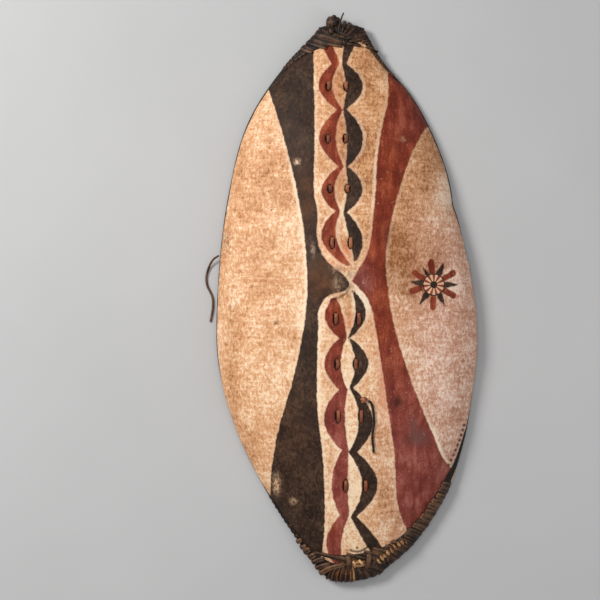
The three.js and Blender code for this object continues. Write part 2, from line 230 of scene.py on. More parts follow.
class Finish:
    """A node material under construction."""

    def __init__(self, name, roughness=0.5, specular=0.4):
        self.material = bpy.data.materials.new(name)
        self.material.use_nodes = True
        self.tree = self.material.node_tree
        self.shader = self.tree.nodes["Principled BSDF"]
        self.shader.inputs["Roughness"].default_value = roughness
        self.shader.inputs["Specular IOR Level"].default_value = specular
        self.place = self.node("ShaderNodeTexCoord").outputs["Object"]

    def node(self, kind, **settings):
        node = self.tree.nodes.new(kind)
        for key, value in settings.items():
            setattr(node, key, value)
        return node

    def feed(self, socket, value):
        if isinstance(value, bpy.types.NodeSocket):
            self.tree.links.new(value, socket)
        else:
            socket.default_value = value

    def stretched(self, scale, turn=0):
        """Object coordinates scaled along each axis, after a turn about Z in degrees."""
        mapping = self.node("ShaderNodeMapping")
        self.feed(mapping.inputs["Vector"], self.place)
        mapping.inputs["Scale"].default_value = scale
        mapping.inputs["Rotation"].default_value = (0, 0, math.radians(turn))
        return mapping.outputs["Vector"]

    def noise(self, scale, detail=3.0, roughness=0.55, vector=None, distortion=0.0):
        node = self.node("ShaderNodeTexNoise")
        self.feed(node.inputs["Vector"], vector or self.place)
        node.inputs["Scale"].default_value = scale
        node.inputs["Detail"].default_value = detail
        node.inputs["Roughness"].default_value = roughness
        node.inputs["Distortion"].default_value = distortion
        return node.outputs["Fac"]

    def cell_edges(self, scale):
        """How near a point is to the border of its cell."""
        node = self.node("ShaderNodeTexVoronoi", feature="DISTANCE_TO_EDGE")
        self.feed(node.inputs["Vector"], self.place)
        node.inputs["Scale"].default_value = scale
        return node.outputs["Distance"]

    def attribute(self, name):
        return self.node("ShaderNodeAttribute", attribute_name=name).outputs["Fac"]

    def vector(self, name):
        return self.node("ShaderNodeAttribute", attribute_name=name).outputs["Vector"]

    def maths(self, operation, a, b=0.0, clamp=False):
        node = self.node("ShaderNodeMath", operation=operation, use_clamp=clamp)
        for socket, value in zip(node.inputs, (a, b)):
            self.feed(socket, value)
        return node.outputs[0]

    def add(self, a, b):
        return self.maths("ADD", a, b)

    def times(self, a, b):
        return self.maths("MULTIPLY", a, b)

    def plus(self, base, *noises):
        """base with noises added, each (noise, amount), as much as each one is off its middle."""
        for noise, amount in noises:
            base = self.add(base, self.times(self.maths("SUBTRACT", noise, 0.5), amount))
        return base

    def length(self, vector):
        node = self.node("ShaderNodeVectorMath", operation="LENGTH")
        self.feed(node.inputs[0], vector)
        return node.outputs["Value"]

    def between(self, value, low, high, start=0.0, end=1.0):
        """Rises smoothly from start to end as value goes from low to high."""
        node = self.node("ShaderNodeMapRange", interpolation_type="SMOOTHSTEP")
        self.feed(node.inputs["Value"], value)
        for name, part in (("From Min", low), ("From Max", high), ("To Min", start), ("To Max", end)):
            node.inputs[name].default_value = part
        return node.outputs["Result"]

    def mix(self, factor, a, b):
        node = self.node("ShaderNodeMix", data_type="RGBA")
        self.feed(node.inputs[0], factor)
        self.feed(node.inputs[6], a)
        self.feed(node.inputs[7], b)
        return node.outputs[2]

    def ramp(self, value, *stops):
        """Colours along a value, each stop (position, red, green, blue)."""
        node = self.node("ShaderNodeValToRGB")
        elements = node.color_ramp.elements
        while len(elements) < len(stops):
            elements.new(0.5)
        for element, (position, *colour) in zip(elements, stops):
            element.position = position
            element.color = srgb(*colour)
        self.feed(node.inputs["Fac"], value)
        return node.outputs["Color"]

    def bump(self, height, distance, strength=1.0, normal=None):
        node = self.node("ShaderNodeBump")
        node.inputs["Strength"].default_value = strength
        node.inputs["Distance"].default_value = distance
        self.feed(node.inputs["Height"], height)
        if normal is not None:
            self.feed(node.inputs["Normal"], normal)
        return node.outputs["Normal"]

    def finish(self, colour, roughness=None, normal=None):
        self.feed(self.shader.inputs["Base Color"], colour)
        if roughness is not None:
            self.feed(self.shader.inputs["Roughness"], roughness)
        if normal is not None:
            self.feed(self.shader.inputs["Normal"], normal)
        return self.material


def floor_material():
    finish = Finish("floor_paper", roughness=0.9, specular=0.2)
    tone = finish.noise(3, detail=2)
    colour = finish.ramp(tone, (0.3, 190, 191, 193), (0.7, 194, 195, 197))
    return finish.finish(colour)


def painted_hide_material():
    finish = Finish("painted_hide", specular=0.2)
    fine = finish.noise(430, detail=2, roughness=0.5)
    flecks = finish.noise(215, detail=2.5, vector=finish.stretched((1, 0.6, 1), 8), distortion=0.7)
    patches = finish.noise(26, detail=5, roughness=0.6)
    broad = finish.noise(9, detail=3)
    brushed = finish.noise(40, detail=4, vector=finish.stretched((1, 5, 1), 14), distortion=0.4)
    streaks = finish.noise(34, detail=5, roughness=0.6, vector=finish.stretched((2.4, 0.6, 1)), distortion=0.5)

    def share(name, noise, low, high, start, end):
        """How much of a spotted colour there is: its attribute, broken up by a noise."""
        return finish.times(finish.attribute(name), finish.between(noise, low, high, start, end))

    # Whitewash over tan hide: cream is how much of it is left.
    left_on = finish.plus(
        finish.attribute("cream"), (flecks, 1.5), (patches, 1.1), (broad, 0.9), (fine, 0.7), (brushed, 0.8),
    )
    tan = finish.ramp(
        left_on,
        (0.0, 158, 100, 60), (0.3, 200, 144, 98), (0.6, 228, 174, 130), (1.0, 255, 226, 190),
    )
    rosy = finish.ramp(
        left_on,
        (0.0, 148, 98, 74), (0.3, 190, 138, 112), (0.6, 214, 162, 138), (1.0, 252, 222, 204),
    )
    hide = finish.mix(finish.attribute("pink"), tan, rosy)
    hide = finish.mix(finish.attribute("fringe"), hide, srgb(184, 112, 74))
    hide = finish.mix(share("stain", flecks, 0.34, 0.6, 1.0, 0.4), hide, srgb(146, 90, 46))
    hide = finish.mix(share("smear", brushed, 0.35, 0.6, 0.45, 1.0), hide, srgb(208, 112, 68))

    # The paint's edges waver, and whitewash is left thicker beside them.
    wobble = finish.plus(0.0, (finish.noise(90, detail=4), 5.0), (fine, 2.4))
    wavering = {name: finish.add(finish.attribute(name), wobble) for name in ("red", "black")}
    for edge in wavering.values():
        halo = finish.between(finish.plus(edge, (flecks, 6.0)), -8.5, -3.0)
        hide = finish.mix(finish.times(halo, finish.attribute("chalk")), hide, srgb(255, 232, 204))
    kept = finish.maths("SUBTRACT", 1.0, share("bare", flecks, 0.42, 0.56, 0.3, 1.0), clamp=True)

    # Red ochre.
    tone = finish.plus(0.5, (patches, 0.55), (streaks, 0.55), (fine, 0.3))
    ochre = finish.ramp(tone, (0.36, 96, 32, 18), (0.5, 128, 50, 28), (0.66, 170, 84, 52))
    purple = finish.ramp(tone, (0.36, 114, 48, 42), (0.5, 142, 68, 58), (0.68, 180, 112, 102))
    ochre = finish.mix(finish.attribute("purple"), ochre, purple)
    ochre = finish.mix(finish.attribute("grey"), ochre, srgb(112, 74, 70))
    thick = finish.maths("SUBTRACT", 1.0, finish.between(flecks, 0.62, 0.78, 0.0, 0.3))
    red_on = finish.times(finish.times(finish.between(wavering["red"], -1.4, 1.6), thick), kept)
    colour = finish.mix(red_on, hide, ochre)

    # Soot black, worn to brown.
    soot = finish.ramp(
        finish.plus(0.5, (patches, 0.5), (flecks, 0.6)),
        (0.36, 34, 22, 15), (0.5, 56, 39, 29), (0.66, 88, 66, 50),
    )
    soot = finish.mix(share("worn", patches, 0.36, 0.6, 0.35, 1.0), soot, srgb(104, 62, 34))
    black_on = finish.between(wavering["black"], -1.2, 1.4)
    colour = finish.mix(finish.times(black_on, kept), colour, soot)

    # The rosette's middle: a black hub, a ring of thin stripes and a line round it.
    wheel = finish.vector("wheel")
    parts = finish.node("ShaderNodeSeparateXYZ")
    finish.feed(parts.inputs[0], wheel)
    radius = finish.plus(finish.length(wheel), (finish.noise(260, detail=3), 2.6))
    turn = finish.times(finish.maths("ARCTAN2", parts.outputs[1], parts.outputs[0]), ROSETTE_STRIPES)
    stripes = finish.ramp(
        finish.add(finish.times(finish.maths("SINE", turn), 0.5), 0.5),
        (0.36, 150, 66, 46), (0.46, 78, 44, 32), (0.56, 232, 190, 156),
    )
    colour = finish.mix(finish.between(radius, 21.3, 20.3), colour, stripes)
    line = finish.times(finish.between(radius, 18.6, 19.4), finish.between(radius, 21.8, 20.9))
    dark = finish.maths("MAXIMUM", line, finish.between(radius, 7.4, 6.2))
    colour = finish.mix(dark, colour, srgb(54, 38, 30))

    # Painted shade in the slots round the stitches, then dark spots, and painted shade in holes and creases.
    depth = finish.plus(finish.length(finish.vector("slot_shade_place")), (fine, 0.35))
    colour = finish.mix(finish.between(depth, 1.3, 1.0, 0.0, 0.45), colour, srgb(96, 48, 30))
    colour = finish.mix(finish.between(depth, 1.04, 0.9), colour, srgb(16, 9, 7))
    colour = finish.mix(finish.attribute("blotch"), colour, srgb(66, 26, 18))
    # Painted shade in holes and creases, and a painted shadow under the lower knot.
    colour = finish.mix(finish.attribute("painted_shade"), colour, srgb(14, 9, 7))

    roughness = finish.between(flecks, 0.3, 0.75, 0.5, 0.72)
    normal = finish.bump(finish.plus(flecks, (fine, 0.5)), 0.0012, 0.7)
    normal = finish.bump(finish.cell_edges(420), 0.00025, 0.5, normal)
    return finish.finish(colour, roughness, normal)


def raw_hide_material():
    finish = Finish("raw_hide", specular=0.35)
    patches = finish.noise(16, detail=6, roughness=0.62)
    fibres = finish.noise(150, detail=4, vector=finish.stretched((1, 0.25, 1)), distortion=0.5)
    fine = finish.noise(420, detail=3)
    tone = finish.add(finish.times(patches, 0.7), finish.times(fibres, 0.3))
    colour = finish.ramp(
        tone,
        (0.3, 92, 62, 40), (0.48, 146, 104, 68), (0.62, 184, 142, 98), (0.8, 206, 172, 130),
    )
    roughness = finish.between(fibres, 0.3, 0.7, 0.6, 0.8)
    height = finish.add(fibres, finish.times(fine, 0.5))
    return finish.finish(colour, roughness, finish.bump(height, 0.0012, 0.7))


def strip_material(name, dark, middle, light, gloss=0.5):
    """Dried rawhide strip with fine lines along it, its tone shifted per point: partly its own tone, partly painted
    highlight on broad faces and shoulders and painted shade on narrow edges and in folds.
    """
    finish = Finish(name, specular=0.3)
    patches = finish.noise(70, detail=5, roughness=0.6)
    fine = finish.noise(420, detail=4)
    tone = finish.add(finish.times(patches, 0.55), finish.times(fine, 0.3))
    # The per-point shift: the strip's own tone, with painted highlight and painted shade added.
    tone = finish.add(tone, finish.attribute("rub"))
    colour = finish.ramp(tone, (0.28, *dark), (0.5, *middle), (0.85, *light))
    roughness = finish.between(fine, 0.3, 0.7, gloss - 0.1, gloss + 0.14)
    height = finish.add(patches, finish.times(fine, 0.6))
    return finish.finish(colour, roughness, finish.bump(height, 0.0008, 0.7))


def wood_material():
    finish = Finish("stave_wood", specular=0.35)
    grain = finish.noise(90, detail=5, roughness=0.65, vector=finish.stretched((1, 0.06, 1)), distortion=0.8)
    lines = finish.noise(320, detail=3, vector=finish.stretched((1, 0.04, 1)))
    patches = finish.noise(14, detail=4)
    tone = finish.add(finish.times(grain, 0.5), finish.times(lines, 0.25))
    tone = finish.add(tone, finish.times(patches, 0.25))
    colour = finish.ramp(
        tone,
        (0.34, 58, 36, 22), (0.48, 104, 68, 40), (0.6, 140, 98, 60), (0.75, 168, 124, 80),
    )
    handled = finish.attribute("handled")
    colour = finish.mix(finish.times(handled, 0.6), colour, srgb(70, 42, 24))
    roughness = finish.between(handled, 0.0, 1.0, 0.62, 0.38)
    height = finish.add(grain, finish.times(lines, 0.5))
    return finish.finish(colour, roughness, finish.bump(height, 0.0009, 0.6))


painted_hide = painted_hide_material()
raw_hide = raw_hide_material()
binding_strip = strip_material("binding_strip", (12, 7, 5), (42, 27, 21), (140, 100, 68), 0.5)
golden_strip = strip_material("golden_strip", (34, 18, 9), (112, 70, 40), (230, 184, 132), 0.42)
stitch_strip = strip_material("stitch_strip", (56, 24, 15), (130, 72, 46), (200, 138, 96), 0.5)
black_thong = strip_material("black_thong", (16, 11, 9), (38, 28, 23), (96, 76, 62), 0.42)
side_strip = strip_material("side_strip", (20, 13, 10), (62, 38, 26), (176, 112, 62), 0.42)
stave_wood = wood_material()

# ---------- Mesh helpers ----------


def make_piece(name, points, faces, materials, slot, indices=None, **attributes):
    """A smooth mesh piece from drawing-frame points, riding on the shield."""
    mesh = bpy.data.meshes.new(name)
    vertices = (np.asarray(points, float) + SHIFT) * MM
    mesh.from_pydata(vertices.tolist(), [], [list(map(int, face)) for face in faces])
    for material in materials:
        mesh.materials.append(material)
    if indices is not None:
        mesh.polygons.foreach_set("material_index", np.asarray(indices, np.int32))
    mesh.polygons.foreach_set("use_smooth", np.ones(len(mesh.polygons), bool))
    for key, values in attributes.items():
        values = np.asarray(values, np.float32)
        kind, field = ("FLOAT", "value") if values.ndim == 1 else ("FLOAT_VECTOR", "vector")
        mesh.attributes.new(key, kind, "POINT").data.foreach_set(field, values.ravel())
    mesh.update()
    piece = bpy.data.objects.new(name, mesh)
    scene.collection.objects.link(piece)
    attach(piece, "root")
    return piece


def sheet_faces(rows, columns, first=0):
    """The faces of a sheet of rows by columns, whose points begin at first."""
    wide = columns + 1
    corners = (first + j * wide + i for j in range(rows) for i in range(columns))
    return [(a, a + 1, a + wide + 1, a + wide) for a in corners]


def sheet_rim(rows, columns):
    """The points round a sheet, counter-clockwise from its first."""
    wide = columns + 1
    rim = list(range(columns)) + [j * wide + columns for j in range(rows)]
    return rim + [rows * wide + i for i in range(columns, 0, -1)] + [j * wide for j in range(rows, 0, -1)]


def tube_faces(count, around, closed=False):
    """The faces of a tube of rings, with its two ends where it isn't closed on itself."""
    faces = []
    for i in range(count if closed else count - 1):
        here, after = i * around, ((i + 1) % count) * around
        faces += [(here + k, here + (k + 1) % around, after + (k + 1) % around, after + k) for k in range(around)]
    if not closed:
        faces += [tuple(range(around - 1, -1, -1)), tuple(range((count - 1) * around, count * around))]
    return faces


def joined(parts):
    """Several (points, faces, attribute) parts as one."""
    points, faces, values, start = [], [], [], 0
    for part_points, part_faces, part_values in parts:
        points.append(part_points)
        faces.extend([[corner + start for corner in face] for face in part_faces])
        values.append(part_values)
        start += len(part_points)
    return np.concatenate(points), faces, np.concatenate(values)


def strip_piece(name, parts, material, slot):
    """One piece made of several strips and lumps."""
    points, faces, rub = joined(parts)
    return make_piece(name, points, faces, [material], slot, rub=rub)


def smooth_path(points, count):
    """Points evenly spaced along a centripetal curve through the ones given."""
    points = np.asarray(points, float)
    ends = np.concatenate([[2 * points[0] - points[1]], points, [2 * points[-1] - points[-2]]])
    fine = []
    for p0, p1, p2, p3 in zip(ends[:-3], ends[1:-2], ends[2:-1], ends[3:]):
        t0 = 0
        t1 = t0 + max(np.linalg.norm(p1 - p0), 1e-6) ** 0.5
        t2 = t1 + max(np.linalg.norm(p2 - p1), 1e-6) ** 0.5
        t3 = t2 + max(np.linalg.norm(p3 - p2), 1e-6) ** 0.5
        t = np.linspace(t1, t2, 24, endpoint=False)[:, None]
        a1 = (t1 - t) / (t1 - t0) * p0 + (t - t0) / (t1 - t0) * p1
        a2 = (t2 - t) / (t2 - t1) * p1 + (t - t1) / (t2 - t1) * p2
        a3 = (t3 - t) / (t3 - t2) * p2 + (t - t2) / (t3 - t2) * p3
        b1 = (t2 - t) / (t2 - t0) * a1 + (t - t0) / (t2 - t0) * a2
        b2 = (t3 - t) / (t3 - t1) * a2 + (t - t1) / (t3 - t1) * a3
        fine.append((t2 - t) / (t2 - t1) * b1 + (t - t1) / (t2 - t1) * b2)
    fine = np.concatenate(fine + [points[-1:]])
    length = np.concatenate([[0], np.cumsum(np.linalg.norm(np.diff(fine, axis=0), axis=1))])
    stops = np.linspace(0, length[-1], count)
    return np.stack([np.interp(stops, length, fine[:, axis]) for axis in range(3)], axis=1)


def rounded(value, power):
    """A sine or cosine with fuller shoulders."""
    return np.sign(value) * np.abs(value) ** power


def sweep(path, sides, widths, thicknesses, around=10, closed=False, squareness=2.6, rub=0.0, crest_highlight=0.12):
    """A strip swept along a path: sides are its width directions. Returns points, faces and tone values, with painted
    highlight on its broad faces and painted shade on its narrow edges.
    """
    path = np.asarray(path, float)
    count = len(path)
    if closed:
        forward = unit(np.roll(path, -1, axis=0) - np.roll(path, 1, axis=0))
    else:
        forward = unit(np.gradient(path, axis=0))
    sides = np.broadcast_to(np.asarray(sides, float), path.shape)
    sides = unit(sides - forward * (sides * forward).sum(1, keepdims=True))
    ups = np.cross(forward, sides)
    widths = np.broadcast_to(np.asarray(widths, float), count)[:, None, None] / 2
    thicknesses = np.broadcast_to(np.asarray(thicknesses, float), count)[:, None, None] / 2
    angle = np.arange(around) * 2 * np.pi / around
    flat, tall = rounded(np.cos(angle), 2 / squareness), rounded(np.sin(angle), 2 / squareness)
    rings = path[:, None] + sides[:, None] * widths * flat[:, None] + ups[:, None] * thicknesses * tall[:, None]
    # Painted highlight on the broad faces, painted shade on the narrow edges.
    shade = rub + crest_highlight * np.abs(tall) - 0.1 * (np.abs(tall) < 0.3)
    return rings.reshape(-1, 3), tube_faces(count, around, closed), np.tile(shade, count)


def value_noise(x, y, cell, seed):
    """Smooth random heights from -1 to 1 over a plane, with one value to each cell."""
    lattice = np.random.default_rng(seed).uniform(-1, 1, (256, 256))
    u, v = np.asarray(x) / cell, np.asarray(y) / cell
    i, j = np.floor(u).astype(int), np.floor(v).astype(int)
    fu, fv = u - i, v - j
    fu, fv = fu * fu * (3 - 2 * fu), fv * fv * (3 - 2 * fv)
    a, b = lattice[i % 256, j % 256], lattice[(i + 1) % 256, j % 256]
    c, d = lattice[i % 256, (j + 1) % 256], lattice[(i + 1) % 256, (j + 1) % 256]
    return (a * (1 - fu) + b * fu) * (1 - fv) + (c * (1 - fu) + d * fu) * fv


def blobs(x, y, spots):
    """The sum of soft round spots, each [x, y, half width, half height, strength]."""
    total = np.zeros_like(x)
    for cx, cy, rx, ry, strength in spots:
        total += strength * np.exp(-(((x - cx) / rx) ** 2 + ((y - cy) / ry) ** 2))
    return total


# ---------- Free thongs ----------

TAIL = {
    "radius": 2.2,
    "points": [[39.6, -186], [44.5, -191], [47.5, -203], [49.6, -225], [46.5, -252], [48.6, -272], [49, -281]],
}
SIDE_THONG = {
    "radius": 2,
    "exit": [-236.2, 79, 16],
    "loop": [[-247, 72, 10], [-256, 56, 4], [-260.5, 38, 2.4], [-258.5, 22, 2.4], [-253, 11, 2.4]],
    "end": [[-249, 1, 2.4], [-248, -11, 2.4], [-249, -25, 2.4], [-253, -45, 2.4]],
}


THONG_STEPS = 32


def free_thong(name, points, side, radius, widths, finish, rub, node):
    path = smooth_path(points, THONG_STEPS)
    widths = np.interp(np.linspace(0, 1, THONG_STEPS), np.linspace(0, 1, len(widths)), widths)
    strip = sweep(path, side, widths, np.minimum(widths, 1.4 * radius), squareness=2.3, rub=rub)
    piece = strip_piece(name, [strip], finish, "thong")
    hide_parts(node)


tail_line = np.array([over(x, y, TAIL["radius"] + 0.7) for x, y in TAIL["points"]])
free_thong(
    "hanging_tail", tail_line, (1, 0, 0), TAIL["radius"], [4.4, 4.6, 4.4, 4.4, 4.2, 4.3, 4.4, 4.4, 3.6],
    black_thong, -0.12, "thong_tail",
)
side_line = [SIDE_THONG["exit"]] + SIDE_THONG["loop"] + SIDE_THONG["end"]
side_line = np.array(side_line) + (0, 0, -SHIFT[2])
free_thong(
    "side_loop", side_line, (1, 0.2, 0), SIDE_THONG["radius"], [4, 4, 4.2, 4, 4, 3.8, 4, 4, 3.4],
    side_strip, 0.0, "side_thong",
)

# ---------- The hide ----------

COLUMNS = 180
ROWS = 400
# The ties: [height, half the way between its stitches, how far its left and right stitch are off that,
# half a stitch's length].
TIES = [
    [389, 16.5, 0, 0, 6.3], [290, 15.5, -5, -4, 6.3], [198, 16, -6, -6, 6], [100, 17, -5, -6, 9.3],
    [-38, 20, -2, -1, 9.8], [-120, 18, -3, -5, 8.3], [-215, 21, -3, -3, 10.8], [-344, 18, -2, -2, 9.8],
]
STITCH = {"width": 7, "half": 10, "thickness": 2.8, "slot": 5.4, "past": 3.2}
LACING = {"from": (224, -239), "to": (195, -314), "bow": 2.4, "count": 9, "radius": 2.9}
SHUT = -60.0  # a paint distance that is well outside the paint
FAR_OFF = 90.0  # a place that is well outside every stitch's slot

# Painted edges as they look from straight above, each [height, place across] from the top down.
# An edge is smooth, but turns a corner where a row is doubled.
LEFT_BAND = {
    "left": [
        [520, -190], [395, -145], [300, -115], [190, -88], [90, -74], [10, -71], [-70, -80], [-160, -100],
        [-250, -126], [-330, -139], [-375, -141], [-375, -141], [-440, -200], [-520, -200],
    ],
    "right": [
        [520, -60], [297, -57], [190, -57], [165, -52], [112, -52], [78, -40], [57, -20], [36, 4], [14, 0],
        [5, -28], [-18, -47], [-60, -50], [-200, -52], [-310, -41], [-440, -39], [-520, -50],
    ],
}
RIGHT_BAND = {
    "left": [
        [440, 80], [370, 80], [320, 69], [265, 61], [185, 56], [110, 48], [85, 42], [55, 26], [32, 13], [32, 13],
        [5, 38], [-25, 51], [-85, 62], [-190, 78], [-285, 92], [-400, 102], [-455, 125],
    ],
    "right": [
        [440, 210], [350, 210], [325, 160], [290, 135], [240, 114], [185, 97], [130, 84], [75, 77], [15, 81],
        [-50, 92], [-125, 114], [-190, 138], [-255, 165], [-320, 200], [-345, 240], [-455, 240],
    ],
}
# The chains of crescents. Each row is a crossing, [height, left edge, right edge], with how far the left and
# the right edge bow out between it and the next one down.
RED_CHAIN = [
    [
        [494, -48, -30, 3, 0], [440, -25, -10, 30, 17], [354, -14, -4, 36, 14], [247, -11, -2, 30, 15],
        [163, -18, -8, 36, 19], [60, 2, 14, 0, 0],
    ],
    [
        [0, -24, -16, 20, -4], [-76, -11, 3, 28, 12], [-172, -11, 5, 31, 6], [-286, -6, 7, 17, 2],
        [-409, -10, 8, 23, 9], [-508, -14, -4, 0, 0],
    ],
]
BLACK_CHAIN = [
    [
        [490, 0, 26, 0, -1], [440, -6, 3, 7, 31], [355, -4, 2, 5, 30], [247, 1, 6, 6, 28], [161, -4, 4, 1, 20],
        [69, 17, 21, 0, 0],
    ],
    [
        [15, 12, 15, 11, 27], [-75, 5, 10, 13, 32], [-169, 7, 14, 20, 35], [-290, 6, 22, 24, 40],
        [-411, 10, 21, -2, 10], [-506, 66, 86, 0, 0],
    ],
]
ROUNDNESS = 0.88  # of the crescents: 1 is a sine curve, and less is fuller
ROSETTE = {"x": 167, "y": 25, "hub": 6.4, "ring": 20.5, "reach": 48}
RED_RAYS = [-7, 59, 119, 182, 254, 301]
BLACK_LEAVES = [25, 90, 152, 216, 277, 327]


def edge_of(rows):
    """A painted edge as a function of height."""
    runs, start = [], 0
    for k in range(1, len(rows)):
        if rows[k] == rows[k - 1]:
            runs.append(rows[start:k])
            start = k
    runs.append(rows[start:])
    curves = [through(sorted(run)) for run in runs]

    def evaluate(height):
        value = curves[0](height)
        for run, curve in zip(runs[1:], curves[1:]):
            value = np.where(height < run[0][0], curve(height), value)
        return value

    return evaluate


def chain_edges(rows, side):
    """Both edges of a chain as functions of height, bowed to the side given between its crossings."""
    table = np.array(rows[::-1], float)
    heights = table[:, 0]

    def edge(column):
        def evaluate(height):
            k = np.clip(np.searchsorted(heights, height), 1, len(heights) - 1)
            t = np.clip((height - heights[k - 1]) / (heights[k] - heights[k - 1]), 0, 1)
            line = table[k - 1, column] * (1 - t) + table[k, column] * t
            return line + side * table[k, column + 2] * np.sin(np.pi * t) ** ROUNDNESS

        return evaluate

    return edge(1), edge(2), heights[0], heights[-1]


def inside_edges(x, y, left, right, low, high):
    """How far inside a painted band a point lies, in millimetres; negative outside it."""
    distances = [np.minimum(y - low, high - y)]
    for edge, sign in ((left, 1), (right, -1)):
        slope = (edge(y + 1) - edge(y - 1)) / 2
        distances.append(sign * (x - edge(y)) / np.sqrt(1 + slope**2))
    return np.minimum.reduce(distances)


def inside_band(x, y, band):
    left, right = band["left"], band["right"]
    return inside_edges(x, y, edge_of(left), edge_of(right), left[-1][0], left[0][0])


def inside_petal(x, y, bearing, start, end, half_width, pointed):
    """How far inside a rosette petal a point lies. bearing is clockwise from up, in degrees."""
    along = x * math.sin(math.radians(bearing)) + y * math.cos(math.radians(bearing))
    aside = np.abs(x * math.cos(math.radians(bearing)) - y * math.sin(math.radians(bearing)))
    t = np.clip((along - start) / (end - start), 0, 1)
    if pointed:
        half = half_width * np.minimum(0.6 + 2.4 * t, 1.25 * (1 - t) ** 0.8)
    else:
        half = half_width * np.minimum(0.9 + 0.06 * t, 5 * (1.06 - t))
    return np.minimum(half - aside, np.minimum(along - start, end - along))


def stitches():
    """Each stitch's plan position, with half its length."""
    places = []
    for y, half, left, right, length in TIES:
        middle = float((left_edge(y) + right_edge(y)) / 2)
        places += [(middle - half + left, y, length), (middle + half + right, y, length)]
    return places


def stitch_slots(x, y):
    """Place in the nearest stitch's slot, from -1 to 1 each way inside it, and how far off it is."""
    slots = np.full(x.shape + (3,), FAR_OFF)
    nearest = np.full(x.shape, FAR_OFF)
    for sx, sy, length in stitches():
        across, along = (x - sx + 0.9) / STITCH["slot"], (y - sy) / (length + STITCH["past"])
        far = np.hypot(across, along)
        slot = np.stack([across, along, np.maximum(far - 1.6, 0) * 4], axis=-1)
        slots = np.where((far < nearest)[..., None], slot, slots)
        nearest = np.minimum(far, nearest)
    return slots


def hide_relief(points):
    """How far the front stands off its even surface."""
    x, y = points[..., 0], points[..., 1]
    relief = 0.9 * value_noise(x, y, 58, 11) + 0.45 * value_noise(x, y, 21, 12)
    relief += 0.22 * value_noise(x, y, 8, 13) + 0.12 * value_noise(x, y, 4.2, 14)
    scar = np.exp(-(((y - 161 - 0.02 * (x + 100)) / 3.2) ** 2))
    relief -= 1.4 * scar * (x < -88) * np.clip((-88 - x) / 12, 0, 1)
    far = np.linalg.norm(stitch_slots(x, y)[..., :2], axis=-1)
    relief += 0.9 * np.exp(-(((far - 1.5) / 0.4) ** 2)) - 2.2 * np.exp(-(far**4))
    return relief


# How bare of binding the hide's edge looks, from 0 to 1, up each side. There it rolls over the binding.
SWELL = 1.2
bare_right = through([[-512, 0], [-300, 0], [-230, 1], [60, 1], [120, 0.3], [395, 0.3], [425, 0], [500, 0]])
bare_left = through([[-512, 0], [-390, 0], [-340, 1], [-150, 1], [-60, 0.3], [400, 0.3], [440, 0], [500, 0]])

# Small holes in the hide, [x, y, radius], and dark lines, [points, half width, strength], as seen. Both are painted
# shade: the dark in the holes, creases, and the second line a painted shadow under the lower knot.
HOLES = [[22.7, -469.6, 2.4], [-42.7, -478, 1.8], [-118, 248, 1.6], [-139, 165, 1.6], [-122, 116, 1.6]]
CREASE_AND_SHADOW_LINES = [
    [[(9, -474), (23, -477.5), (34, -474), (44, -467)], 2.0, 0.9],
    [[(9, -497), (18, -501), (30, -498), (39, -495)], 3.6, 1.0],
    [[(-26, -4), (-10, 1), (4, 10), (11, 25)], 1.8, 0.6],
    [[(-54, 100), (-51, 86)], 3.4, 0.8],
]


def off_line(x, y, points):
    """How far places are from a broken line."""
    far = np.full(x.shape, np.inf)
    for (x0, y0), (x1, y1) in zip(points, points[1:]):
        t = np.clip(((x - x0) * (x1 - x0) + (y - y0) * (y1 - y0)) / ((x1 - x0) ** 2 + (y1 - y0) ** 2), 0, 1)
        far = np.minimum(far, np.hypot(x - x0 - (x1 - x0) * t, y - y0 - (y1 - y0) * t))
    return far


def paint_distances(seen):
    x, y = seen[..., 0], seen[..., 1]
    black = inside_band(x, y, LEFT_BAND)
    red = inside_band(x, y, RIGHT_BAND)
    for rows in RED_CHAIN:
        red = np.maximum(red, inside_edges(x, y, *chain_edges(rows, -1)))
    for rows in BLACK_CHAIN:
        black = np.maximum(black, inside_edges(x, y, *chain_edges(rows, 1)))
    rx, ry = x - ROSETTE["x"], y - ROSETTE["y"]
    for bearing in RED_RAYS:
        red = np.maximum(red, inside_petal(rx, ry, bearing, ROSETTE["ring"], ROSETTE["reach"], 6.4, False))
    for bearing in BLACK_LEAVES:
        thin = 3.2 if bearing == BLACK_LEAVES[-1] else 6.0
        black = np.maximum(black, inside_petal(rx, ry, bearing, ROSETTE["ring"] - 3, ROSETTE["reach"], thin, True))
    return black, red


# Soft spots of colour on the front, as seen, each [x, y, half width, half height, strength].
CREAM = [
    [-150, 250, 70, 70, -0.14], [-190, 130, 50, 60, -0.08], [-60, 300, 14, 190, 0.06], [-58, -200, 26, 300, 0.3],
    [-90, 60, 34, 120, 0.24], [-110, -120, 60, 90, 0.08], [20, 300, 60, 190, -0.3], [10, -250, 26, 240, 0.3],
    [60, -80, 22, 110, 0.1], [66, -330, 30, 90, -0.24], [60, -220, 22, 60, 0.16], [150, 300, 60, 100, -0.3],
    [100, 130, 60, 90, -0.3], [190, -160, 60, 160, 0.12], [188, 205, 22, 40, 0.55], [170, 150, 26, 40, 0.1],
    [-190, -200, 60, 120, -0.04], [-30, -480, 16, 36, 0.1], [10, 44, 6, 7, 0.7], [225, 60, 20, 120, 0.12],
]
STAINS = [
    [-226, 108, 12, 22, 0.9], [108, 82, 34, 50, 0.7], [120, 24, 24, 30, 0.7], [84, 62, 10, 40, 0.6],
    [-212, -70, 10, 120, 0.35], [0, 26, 20, 28, 1.1], [66, -265, 12, 34, 0.3], [-30, -495, 26, 20, 0.5],
    [120, 290, 40, 40, 0.2], [160, -292, 10, 14, 0.4], [88, 110, 12, 18, 0.5],
]
